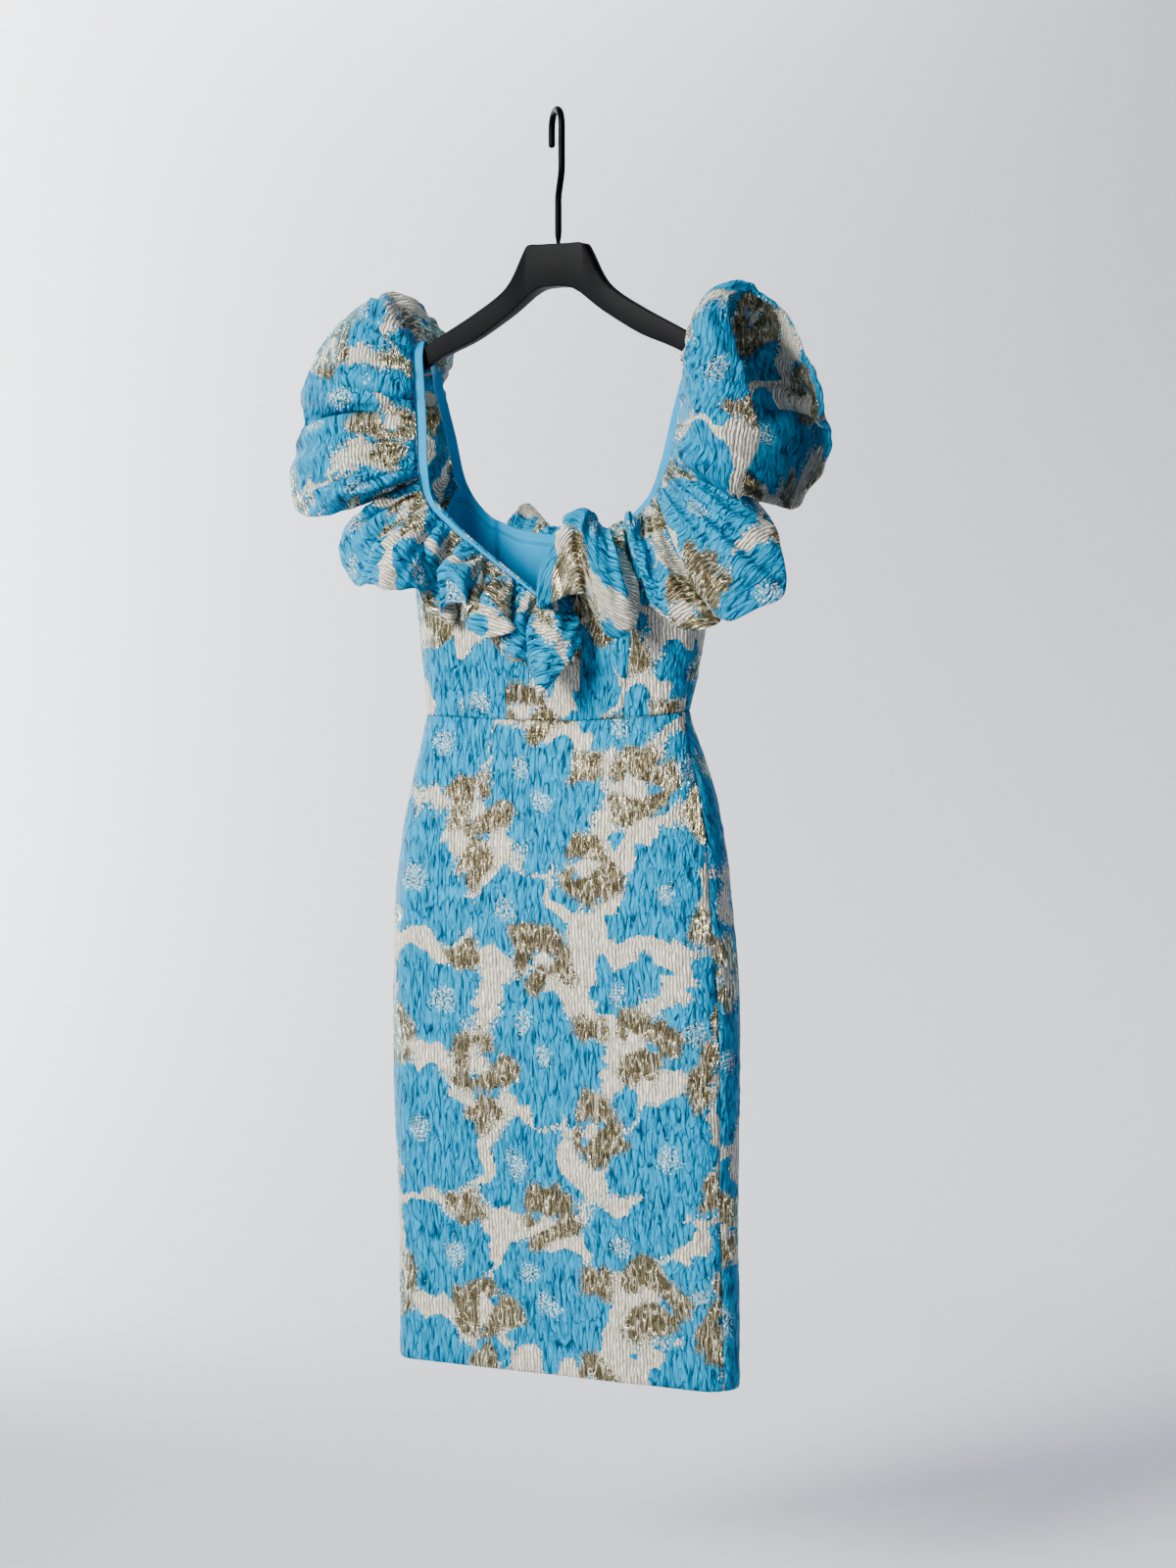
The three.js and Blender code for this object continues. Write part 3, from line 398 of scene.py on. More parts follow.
def brocade():
    """Crinkled jacquard of cyan satin, gilt thread and cream silk. Each mask is a field of the weave cut
    at nought, and each yarn's colour is laid over the last where its mask is 1. The relief is a height
    for the flowers and one for the ground, with the gilt's own sparkle on top."""
    material, node = new_material("brocade_jacquard")
    cloth = node("UVMap", uv_map="cloth")
    flower, gilt, eye, speckle, spray, reverse = (
        node("Attribute", attribute_name=name, out="Fac")
        for name in ("flower", "gilt", "eye", "speckle", "spray", "reverse"))

    def threads(width, length, **extra):
        """A noise whose grains are so many millimetres wide and long on the cloth."""
        place = node("Mapping", {"Vector": cloth, "Scale": grains_a_metre(width, length)})
        return node("TexNoise", {"Vector": place, "Scale": 1, **extra}, noise_dimensions="2D")

    def torn(start, *strengths):
        """1 where a field is above nought once noises are added to it: each is (noise, millimetres)."""
        total = start
        for grain, strength in strengths:
            total = node("Math", (grain, strength, total), operation="MULTIPLY_ADD")
        half = sum(strength for _, strength in strengths) / 2
        return node("Math", (total, half), operation="GREATER_THAN")

    def crests(grain, width):
        """1 along the lines where a noise crosses its middle value, falling softly to 0 beside them."""
        away = node("Math", (grain, 0.5), operation="SUBTRACT")
        away = node("Math", (away,), operation="ABSOLUTE")
        return node("MapRange", {"Value": away, "From Max": width, "To Min": 1.0, "To Max": 0.0},
                    interpolation_type="SMOOTHSTEP")

    warp = threads(THREAD, 3.6, Detail=1)
    broad = threads(5.5, 9, Detail=1)
    fleck = threads(1.3, 1.8, Detail=1)
    blotch = threads(3.2, 3.8, Detail=1)
    heart = threads(2.4, 2.6, Detail=1, Distortion=0.5)
    foil = threads(1.4, 12, Detail=2, Distortion=0.5)
    wrinkle = threads(4.4, 20, Detail=1, Distortion=0.4)
    long_crest = crests(threads(8.5, 36, Detail=0, Distortion=0.35), 0.06)
    short_crest = crests(threads(6.2, 22, Detail=0, Distortion=0.4), 0.05)
    gilt_crest = crests(threads(5.5, 24, Detail=0, Distortion=0.5), 0.12)
    bend = threads(22, 21, Detail=1)
    swerve = threads(50, 45, Detail=0)
    strength = threads(20, 30, Detail=0)

    broken = node("Math", (blotch, 0.5), operation="SUBTRACT")
    broken = node("Math", (broken, spray), operation="MULTIPLY")
    flower = node("Math", (broken, 55.0, flower), operation="MULTIPLY_ADD")
    is_flower = torn(flower, (warp, 12), (broad, 14))
    is_eye = torn(eye, (warp, 10), (fleck, 8))
    not_eye = node("Math", (1.0, is_eye), operation="SUBTRACT")
    is_gilt = node("Math", (torn(gilt, (foil, 16), (heart, 18)), not_eye), operation="MULTIPLY")
    dense = node("Math", (speckle, 0.3, heart), operation="MULTIPLY_ADD")
    is_speck = node("Math", (dense, 0.84), operation="GREATER_THAN")

    sideways = node("SeparateXYZ", (cloth,))
    place = node("Math", (bend, CRINKLE["bend"] * MILLIMETRE, sideways), operation="MULTIPLY_ADD")
    place = node("Math", (swerve, CRINKLE["swerve"] * MILLIMETRE, place), operation="MULTIPLY_ADD")
    place = node("Math", (place, math.pi / (CRINKLE["spacing"] * MILLIMETRE)), operation="MULTIPLY")
    wave = node("Math", (place,), operation="SINE")
    wave = node("Math", (wave,), operation="ABSOLUTE")
    wave = node("Math", (1.0, wave), operation="SUBTRACT")
    lively = node("MapRange", {"Value": strength, "From Min": 0.35, "From Max": 0.6, "To Min": 0.35})
    wave = node("Math", (wave, lively), operation="MULTIPLY")
    wavy = node("Math", (broad, 4 * MILLIMETRE, sideways), operation="MULTIPLY_ADD")
    wavy = node("Math", (wavy, 2 * math.pi / (RIB * MILLIMETRE)), operation="MULTIPLY")
    rib = node("Math", (wavy,), operation="SINE")
    creased = node("Math", (short_crest, 0.5, long_crest), operation="MULTIPLY_ADD")

    # Painted shade and highlight on the cyan: darker along the crease lines, and lighter where the wrinkle
    # noise lifts the relief, which also gives the satin its own uneven tone.
    tone = node("Math", (creased, -0.12, wrinkle), operation="MULTIPLY_ADD")
    cyan = node("ValToRGB", (tone,), stops=[(0.24, "#003F5B"), (0.36, "#006D96"), (0.54, "#008CB5")])
    cream = node("ValToRGB", (broad,), stops=[(0.38, "#D2CCB6"), (0.62, "#EBE6D3")])
    # Painted highlight and shade on the gilt: its colour runs to near white on the foil's crests and to dark
    # olive between them, following the noises that raise its sparkle relief.
    lines = node("Math", (foil, 0.5, 0.17), operation="MULTIPLY_ADD")
    lines = node("Math", (gilt_crest, 0.28, lines), operation="MULTIPLY_ADD")
    gilt_with_painted_glints = node("ValToRGB", (lines,), stops=[(0.37, "#5A4F35"), (0.5, "#AC9D73"), (0.62, "#FFF4D2")])
    # Painted shade: the cream is darkened towards #787059 in the valleys of its ribs, where the rib relief is
    # lowest.
    valley = node("MapRange", {"Value": rib, "From Min": -1.0, "From Max": -0.1, "To Min": 0.95,
                               "To Max": 0.0})
    rib_shaded_cream = node("Mix", {0: valley, 6: cream, 7: colour("#787059")}, out=2, data_type="RGBA")
    paint = rib_shaded_cream
    for where, yarn in ((is_flower, cyan), (is_speck, colour("#C6D2C4")), (is_eye, rib_shaded_cream),
                        (is_gilt, gilt_with_painted_glints), (reverse, colour("#2F7690"))):
        paint = node("Mix", {0: where, 6: paint, 7: yarn}, out=2, data_type="RGBA")

    front = node("Math", (1.0, reverse), operation="SUBTRACT")
    metal = node("Math", (is_gilt, 0.8), operation="MULTIPLY")
    metal = node("Math", (metal, front), operation="MULTIPLY")
    rough = node("MapRange", {"Value": is_flower, "To Min": 0.7, "To Max": 0.46})
    rough = node("Mix", {0: is_gilt, 2: rough, 3: 0.27}, data_type="FLOAT")

    folded = node("Math", (wave, 0.4, wrinkle), operation="MULTIPLY_ADD")
    folded = node("Math", (creased, 1.1, folded), operation="MULTIPLY_ADD")
    ribs = node("Math", (creased, 0.22, wrinkle), operation="MULTIPLY_ADD")
    ribs = node("Math", (rib, 0.34, ribs), operation="MULTIPLY_ADD")
    relief = node("Mix", {0: is_flower, 2: ribs, 3: folded}, data_type="FLOAT")
    sparkle = node("Math", (gilt_crest, 0.5, foil), operation="MULTIPLY_ADD")
    sparkle = node("Math", (sparkle, is_gilt), operation="MULTIPLY")
    relief = node("Math", (sparkle, 1.3, relief), operation="MULTIPLY_ADD")
    bump = node("Bump", {"Strength": 1.0, "Distance": RELIEF * MILLIMETRE, "Height": relief})
    shader = node("BsdfPrincipled", {
        "Base Color": paint, "Metallic": metal, "Roughness": rough, "IOR": 1.48, "Specular IOR Level": 0.1,
        "Specular Tint": colour("#35CDF5"), "Normal": bump})
    node("OutputMaterial", {"Surface": shader})
    return material


BROCADE = brocade()
print("brocade has", len(BROCADE.node_tree.nodes), "nodes")

# %% [markdown]
# Satin for the lining and the straps is filament yarn in long floats, so the light slides over it. It has
# no crinkle, only the faint grain of the weave, slow changes where the iron has pressed it, and a darker
# line painted as shade in the trough beside the lining's stitched lines. The rest is plainer, and one
# function gives each finish its own fine grain: moulded plastic looks dull and evenly black, painted steel
# smoother and a little glossier, the zip's woven tape matt, and its lacquered metal has the tape's blue
# under a gloss.
# %% Satin, plastic, painted metal


def speckled_finish(name, dark, light, grain, rough, bump_height, **settings):
    """A finish whose colour, gloss and height all follow one noise on the object's coordinates. Its grain
    and the height of its bumps are in millimetres."""
    material, node = new_material(name)
    place = node("TexCoord", out="Object")
    grains = node("TexNoise", {"Vector": place, "Scale": 1 / (grain * MILLIMETRE), "Detail": 3})
    paint = node("Mix", {0: grains, 6: colour(dark), 7: colour(light)}, out=2, data_type="RGBA")
    gloss = node("MapRange", {"Value": grains, "To Min": rough - 0.06, "To Max": rough + 0.06})
    bump = node("Bump", {"Strength": 0.5, "Distance": bump_height * MILLIMETRE, "Height": grains})
    shader = node("BsdfPrincipled", {"Base Color": paint, "Roughness": gloss, "Normal": bump, **settings})
    node("OutputMaterial", {"Surface": shader})
    return material


def satin():
    """Acetate lining satin in the flower's cyan, with fine upright twill and slow tone changes. Painted shade
    darkens it in the trough beside a stitched line: darkest 0.2 mm from the line, its own colour again from
    1.1 mm."""
    material, node = new_material("acetate_satin")
    cloth = node("UVMap", uv_map="cloth")
    grain = node("Mapping", {"Vector": cloth, "Scale": grains_a_metre(1.2, 6)})
    floats = node("TexNoise", {"Vector": grain, "Scale": 1, "Detail": 1}, noise_dimensions="2D")
    slow = node("TexNoise", {"Vector": cloth, "Scale": 18, "Detail": 2}, noise_dimensions="2D")
    tone = node("Math", (floats, 0.25, slow), operation="MULTIPLY_ADD")
    paint = node("ValToRGB", (tone,), stops=[(0.35, "#0078A6"), (0.85, "#008CBE")])
    clear = node("Attribute", attribute_name="clear", out="Fac")
    # Painted shade: the satin darkens towards #00344F within 1.1 mm of a stitched line, in the trough that
    # the stitching presses.
    stitched = node("MapRange", {"Value": clear, "From Min": 0.2, "From Max": 1.1, "To Min": 0.45,
                                 "To Max": 0.0})
    paint = node("Mix", {0: stitched, 6: paint, 7: colour("#00344F")}, out=2, data_type="RGBA")
    bump = node("Bump", {"Strength": 0.25, "Distance": 0.3 * MILLIMETRE, "Height": floats})
    shader = node("BsdfPrincipled", {
        "Base Color": paint, "Roughness": 0.5, "IOR": 1.47, "Specular IOR Level": 0.2,
        "Specular Tint": colour("#35CDF5"), "Normal": bump})
    node("OutputMaterial", {"Surface": shader})
    return material


SATIN = satin()
DULL = {"Specular IOR Level": 0.04}
BLACK_PLASTIC = speckled_finish("moulded_black_abs", "#08090A", "#0F1012", 0.9, 0.45, 0.1, **DULL)
PAINTED_STEEL = speckled_finish("black_painted_steel", "#020202", "#050506", 1.2, 0.35, 0.1, **DULL)
ZIP_TAPE = speckled_finish("woven_polyester_tape", "#005E88", "#0A749E", 1.1, 0.7, 0.2)
ZIP_LACQUER = speckled_finish("lacquered_zinc_alloy", "#0A6288", "#14779B", 2, 0.3, 0.05, Metallic=0.4)
for node_name, finish in {"zip_tape_bodice": ZIP_TAPE, "zip_tape_skirt": ZIP_TAPE,
                          "zip_slider": ZIP_LACQUER, "zip_pull": ZIP_LACQUER}.items():
    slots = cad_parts[node_name].data.materials
    slots.clear()
    slots.append(finish)
print("finishes:", SATIN.name, BLACK_PLASTIC.name, PAINTED_STEEL.name)

# %% [markdown]
# ## The form of the dress
# Hung on a hanger, a fitted dress closes to a flattened tube. Each section has a nearly flat front and
# back and round sides. The whole body is then one function of two numbers: how far round, from 0 at the
# centre front to 1 at the side and 2 at the centre back, and how high.
# %% Body form
LEVELS = table("z halfWidth halfDepth belly seat sway seamTurn", [
    (-425, 184, 47, 0, 0, 0, 84), (-500, 187, 50, 1, 1, 1, 82), (-556, 186, 50, 2, 1, 2, 80),
    (-600, 182, 49, 3, 1, 2, 78), (-646, 176, 44, 2, 0, 1, 80), (-695, 168.5, 36, 2, 0, -2, 86),
    (-735, 179, 43, 4, 3, 1, 72), (-780, 193, 49, 5, 6, 3, 66), (-825, 203.5, 51, 5, 8, 3, 62),
    (-870, 210.5, 53, 4, 8, 3, 60), (-920, 216.5, 53, 3, 6, 3, 57), (-1010, 223.5, 50, 2, 3, 5, 55),
    (-1125, 225, 46, 1, 1, 6, 55), (-1240, 222, 41, 0, 0, 7, 54), (-1355, 221.5, 37, 0, 0, 9, 54),
    (-1475, 221.5, 34, 0, 0, 11, 54),
])
HEM = -1468
WAIST = {"front": -703, "side": -697, "right": -690}
UNDERARM = -500
FRONT_EDGE = table("across z", [
    (0, -557), (32, -534), (70, -507), (112, -474), (140, -446), (147, -444), (160, -448), (178, -468),
    (196, -490), (219, UNDERARM)])
BACK_EDGE = table("across z", [
    (0, -487), (40, -486), (78, -480.5), (118, -463), (142, -438), (147, -431.5), (160, -431.5),
    (178, -462), (196, -488), (219, UNDERARM)])
FRONT_SEAMS = (0, 0.25, 0.55)
BACK_SEAM = 1.5
SEAM_GAP = 0.3


def level(z, column):
    """One of the form's measures at any height."""
    return smooth(LEVELS, "z", column, z)


def quarter_length(z):
    """The way from the centre line to the widest side: along the flat, then a quarter round the side."""
    return level(z, "halfWidth") + level(z, "halfDepth") * (math.pi / 2 - 1)


def on_body(turn, z, out=0.0):
    """Points of the dress, `out` millimetres outside its cloth. Along a flat front or back, then round a
    side whose radius is the half depth, with a slight bulge on the flat."""
    turn = np.where(turn > 2, turn - 4, turn)
    back = np.abs(turn) > 1
    round_side = level(z, "halfDepth")
    flat = level(z, "halfWidth") - round_side
    along = np.where(back, 2 - np.abs(turn), np.abs(turn)) * quarter_length(z)
    angle = np.maximum(0, (along - flat) / round_side)
    bulge = np.where(back, level(z, "seat"), level(z, "belly")) * np.cos(
        math.pi / 2 * np.minimum(along / flat, 1)) ** 2
    reach = round_side + out
    x = np.sign(turn) * (np.minimum(along, flat) + reach * np.sin(angle)) + level(z, "sway")
    y = -reach * np.cos(angle) - bulge
    return np.stack([x, np.where(back, -y, y), z + 0 * x], axis=-1)


def right_seam(z):
    """Where the right side seam lies, as a turn."""
    along = level(z, "halfWidth") + level(z, "halfDepth") * (np.radians(level(z, "seamTurn")) - 1)
    return along / quarter_length(z)


def side_share(turn):
    """How far a turn is from the nearest centre line, front or back: 0 there and 1 at the side."""
    return np.where(np.abs(turn) > 1, np.abs(2 - np.abs(turn)), np.abs(turn))


def waist_at(turn):
    """Height of the waist seam, which dips towards the centre as the square of the way to the side."""
    end = np.where(turn > 0, WAIST["right"], WAIST["side"])
    return WAIST["front"] + (end - WAIST["front"]) * side_share(turn) ** 2


def top_at(turn):
    """Height of the bodice's edge: read at the way round, which itself depends on the height."""
    z = np.full(np.shape(turn), float(UNDERARM))
    for _ in range(6):
        across = side_share(turn) * quarter_length(z)
        z = np.where(np.abs(turn) > 1, np.interp(across, BACK_EDGE["across"], BACK_EDGE["z"]),
                     np.interp(across, FRONT_EDGE["across"], FRONT_EDGE["z"]))
    return z


for edge, height in (("hem", HEM), ("waist", WAIST["side"])):
    print(edge, "round:", round(float(4 * quarter_length(height))), "mm")

# %% [markdown]
# ## Cut panels
# Every panel is the body form between two seams and two edges. The cloth sinks a little into each seam
# and puckers beside it, and the crinkle rides on top. The skirt also has its darts and the turn of its
# hem. Each panel was cut from another place of the cloth, so the flowers break at the seams, as they do
# in a real garment.
# %% Panels
CLOTH = 2.0                            # wall of the brocade
GRID = {"across": 2.5, "along": 3.5}   # size of a cell of the fine cloth
BROCADE_WEIGHT = {"crinkle": 0.9, "proud": 0.2, "pucker": 0.8}
SUNK = {"seam": (1.5, 3.5), "edge": (1.2, 3.0), "hem": (0.7, 3.0)}    # (depth, reach) of sewing's troughs
DART = {"lean": 0.05, "tip": -930, "fade": 170, "depth": 2.6, "reach": 3.0, "behind": 0.9}
HEM_TURN = 32                          # from the hem up to its stitched edge
HALF = {"up": (waist_at, top_at), "down": (lambda turn: HEM + 0 * turn, waist_at)}
SWELL = {"depth": 3.0, "height": 260, "below": -760, "fade": 200}
STRAIN = {"depth": 1.6, "width": 13, "height": 60, "middle": -725, "reach": 42}
WAIST_FOLDS = {"depth": 1.8, "height": 17, "middle": -672, "reach": 30}


def groove(distance, depth, reach):
    """A soft trough: a bell curve of the distance, turned down and as deep as is said."""
    return -depth * np.exp(-(distance / reach) ** 2)


def panel_grid(start, stop, bottom, top, cell):
    """Turns and heights of a panel's grid, and how far each point is from its four edges. Columns share
    out the way between the two seams, and lines the height between the two edges. Half a seam gap is left
    all round."""
    def seam(side, z):
        """The seam's turn at each height: its own function of height, or the same turn at every height."""
        return side(z) if callable(side) else side + 0 * z

    middle = np.array((WAIST["front"] + UNDERARM) / 2)
    guides = [float(seam(side, middle)) for side in (start, stop)]
    heights = np.linspace(HEM, WAIST["front"], 9)
    widest = float(((seam(stop, heights) - seam(start, heights)) * quarter_length(heights)).max())
    share = np.linspace(0, 1, max(4, round(widest / cell["across"])) + 1)
    guide = guides[0] + (guides[1] - guides[0]) * share
    low, high = bottom(guide) + SEAM_GAP / 2, top(guide) - SEAM_GAP / 2
    rise = np.linspace(0, 1, max(4, round(float((high - low).max()) / cell["along"])) + 1)
    z = low[:, None] + (high - low)[:, None] * rise
    trim = SEAM_GAP / 2 / quarter_length(z)
    begin, end = seam(start, z) + trim, seam(stop, z) - trim
    turn = begin + (end - begin) * share[:, None]
    width = (end - begin) * quarter_length(z)
    return {"turn": turn, "z": z, "width": width,
            "from_start": share[:, None] * width, "from_stop": (1 - share[:, None]) * width,
            "from_bottom": z - low[:, None], "from_top": high[:, None] - z}


def cloth_place(grid, shift):
    """The cloth's own coordinates: the way round from the centre of the front or of the back, whichever
    the panel's middle is nearer, and the height. A panel that wraps round the side is measured straight
    on, so that its weave isn't mirrored there."""
    turn, z = grid["turn"], grid["z"]
    centre = 2 * np.sign(turn.mean()) if abs(turn.mean()) > 1 else 0
    across = (turn - centre) * quarter_length(z)
    return across + shift[0], z + shift[1]


skirt_grid = panel_grid(-1, right_seam, *HALF["down"], GRID)
print("the skirt's front has", skirt_grid["z"].size, "points on each face")

# %% [markdown]
# A cut piece takes its relief from the crinkle, its sewn edges, and marks of its own: darts, the pressed
# hem and slow swells in the skirt, cross folds in the bodice. Only the outer face carries the relief.
# The inner face stays a wall's thickness further in, or just behind the deepest creases, and shows the
# weave's back, in one duller blue.
# %% Brocade pieces


def brocade_panel(name, start, stop, bottom, top, shift, marks):
    """One cut piece of brocade. `marks` adds its own darts, folds and swells in millimetres."""
    grid = panel_grid(start, stop, bottom, top, GRID)
    across, along = cloth_place(grid, shift)
    relief = BROCADE_WEIGHT["crinkle"] * crinkle(across, along) + BROCADE_WEIGHT["proud"]
    for edge in ("from_start", "from_stop"):
        pucker = noise(grid[edge] / 16, grid["z"] / 9, 31) * np.exp(-grid[edge] / 14)
        relief = relief + groove(grid[edge], *SUNK["seam"]) + BROCADE_WEIGHT["pucker"] * pucker
    for edge in ("from_bottom", "from_top"):
        relief = relief + groove(grid[edge], *SUNK["edge"])
    relief = relief + marks(grid)
    outer = on_body(grid["turn"], grid["z"], relief)
    inner = on_body(grid["turn"], grid["z"], np.minimum(-CLOTH, relief - 0.6))
    piece = wall_piece(name + "_cloth", outer, inner, BROCADE, name)
    layers = {key: np.tile(values.ravel(), 2) for key, values in weave(across, along).items()}
    layers["reverse"] = np.repeat([0.0, 1.0], across.size)
    give_layers(piece, np.tile(across.ravel(), 2), np.tile(along.ravel(), 2), layers)
    return piece


def skirt_marks(grid):
    """Darts that go on from the outer seams of the bodice and run out below the hips, a little shallower
    behind, the pressed turn of the hem, slow upright swells, and short strain folds under the waist."""
    z, place = grid["z"], side_share(grid["turn"]) * quarter_length(grid["z"])
    at_waist = FRONT_SEAMS[2] * quarter_length(np.array(float(WAIST["front"])))
    from_dart = place - at_waist - DART["lean"] * (WAIST["front"] - z)
    dart = groove(from_dart, DART["depth"], DART["reach"]) * np.clip((z - DART["tip"]) / DART["fade"], 0, 1)
    dart = np.where(np.abs(grid["turn"]) < 1, dart, dart * DART["behind"])
    swell = SWELL["depth"] * noise(grid["turn"] * 3.1 + 5, z / SWELL["height"], 41)
    swell = swell * np.clip((SWELL["below"] - z) / SWELL["fade"], 0, 1)
    strain = STRAIN["depth"] * noise(place / STRAIN["width"] + 40, z / STRAIN["height"], 42)
    strain = strain * np.exp(-np.abs(z - STRAIN["middle"]) / STRAIN["reach"])
    hem = groove(z - HEM - HEM_TURN, *SUNK["hem"])
    return dart + swell + strain + hem


def bodice_marks(grid):
    """Soft cross folds at the waist, where the fitted cloth has no body to fill it."""
    z = grid["z"]
    folds = WAIST_FOLDS["depth"] * noise(grid["turn"] * 2.2 + 9, z / WAIST_FOLDS["height"], 43)
    folds = folds * np.exp(-np.abs(z - WAIST_FOLDS["middle"]) / WAIST_FOLDS["reach"])
    return folds + 1.2 * noise(grid["turn"] * 6, z / 70, 44)


BODICE = [
    ("bodice_front_centre_right", FRONT_SEAMS[0], FRONT_SEAMS[1], (320, 180)),
    ("bodice_front_centre_left", -FRONT_SEAMS[1], -FRONT_SEAMS[0], (320, 180)),
    ("bodice_front_middle_right", FRONT_SEAMS[1], FRONT_SEAMS[2], (360, 140)),
    ("bodice_front_middle_left", -FRONT_SEAMS[2], -FRONT_SEAMS[1], (20, 140)),
    ("bodice_front_side_right", FRONT_SEAMS[2], right_seam, (140, 0)),
    ("bodice_front_side_left", -1, -FRONT_SEAMS[2], (160, 160)),
    ("bodice_back_side_right", right_seam, BACK_SEAM, (20, 250)),
    ("bodice_back_side_left", -BACK_SEAM, -1, (170, 130)),
    ("bodice_back_centre_right", BACK_SEAM, 2, (300, 10)),
    ("bodice_back_centre_left", -2, -BACK_SEAM, (90, 190)),
]
for name, start, stop, shift in BODICE:
    brocade_panel(name, start, stop, *HALF["up"], shift, bodice_marks)
SKIRT = [
    ("skirt_front", -1, right_seam, (236, 60)),
    ("skirt_back_right", right_seam, 2, (40, 60)),
    ("skirt_back_left", -2, -1, (330, 240)),
]
for name, start, stop, shift in SKIRT:
    piece = brocade_panel(name, start, stop, *HALF["down"], shift, skirt_marks)
    print(piece.name, len(piece.data.polygons) * 2, "triangles")

# %% [markdown]
# ## The neck opening
# The ruffle, the straps and the bound edge all follow one line: from the centre front over the hanger to
# the centre back. It is a centripetal Catmull-Rom curve through a few places, sampled finely and read by
# its share of the length. Such a curve passes through its places without loops, however they are spaced.
# %% Neck line
NECK = [(0, -52, -557), (32, -52, -534), (70, -51.3, -507), (112, -49.7, -474), (140, -47.5, -446),
        (151, -41, -411), (160, -29, -354), (169, -18, -305), (174.5, -11, -271), (177, 0, -257),
        (174.5, 11, -271), (166, 18, -303), (158, 36, -362), (146, 48, -428), (118, 51, -463),
        (78, 51.5, -480), (40, 51.5, -486), (9, 51.5, -487)]
SEWN_AT = table("share inset lift", [
    (0, 3, 2.3), (0.15, 5, 2.3), (0.25, 8, 3.2), (0.3, 12.5, 4), (0.75, 12.5, 4), (0.85, 5, 2.3),
    (1, 3, 2.3)])
NECK_STEPS = 60                        # points of the line from one place to the next
HANGER_TILT = 27                       # slope of the hanger's arms, in degrees
LIFT_FROM, LIFT_PER_MM = -370, 0.55    # above this height the outward direction turns upwards


def catmull_rom(places, per_span):
    """Points on a centripetal Catmull-Rom curve: cubics whose knots are spaced by root chord lengths."""
    places = np.array(places, float)
    padded = np.concatenate([[2 * places[0] - places[1]], places, [2 * places[-1] - places[-2]]])
    p0, p1, p2, p3 = (padded[k:len(padded) - 3 + k, None] for k in range(4))
    d0, d1, d2 = (np.sqrt(np.linalg.norm(after - before, axis=-1, keepdims=True))
                  for before, after in ((p0, p1), (p1, p2), (p2, p3)))
    leave = ((p1 - p0) / d0 - (p2 - p0) / (d0 + d1) + (p2 - p1) / d1) * d1
    arrive = ((p2 - p1) / d1 - (p3 - p1) / (d1 + d2) + (p3 - p2) / d2) * d1
    t = np.linspace(0, 1, per_span, endpoint=False)[None, :, None]
    curve = ((2 * t**3 - 3 * t**2 + 1) * p1 + (t**3 - 2 * t**2 + t) * leave
             + (3 * t**2 - 2 * t**3) * p2 + (t**3 - t**2) * arrive)
    return np.concatenate([curve.reshape(-1, 3), places[-1:]])


def run_of(points):
    """Length of the way to each point of a line, from its first."""
    return np.concatenate([[0], np.cumsum(np.linalg.norm(np.diff(points, axis=0), axis=1))])


def unit(vectors):
    """Each vector, made one long."""
    return vectors / np.linalg.norm(vectors, axis=-1, keepdims=True)


def neck_frame(share, side):
    """Place on the neck line at a share of its length, and two directions there: out from the opening,
    and off the body."""
    line = catmull_rom([(side * x, y, z) for x, y, z in NECK], NECK_STEPS)
    run = run_of(line) / run_of(line)[-1]
    heading = unit(np.gradient(line, run, axis=0))
    place = np.stack([np.interp(share, run, line[:, k]) for k in range(3)], axis=-1)
    along = unit(np.stack([np.interp(share, run, heading[:, k]) for k in range(3)], axis=-1))
    lift = np.maximum(0, place[:, 2] - LIFT_FROM) * LIFT_PER_MM
    slope = side * math.tan(math.radians(HANGER_TILT)) * along[:, 1] ** 4
    off = unit(np.stack([slope * lift, place[:, 1], lift], axis=-1))
    off = unit(off - (off * along).sum(axis=-1, keepdims=True) * along)
    out = np.cross(along, off) * side
    return place, out, off


print("neck line:", round(float(run_of(catmull_rom(NECK, NECK_STEPS))[-1])), "mm on each side")

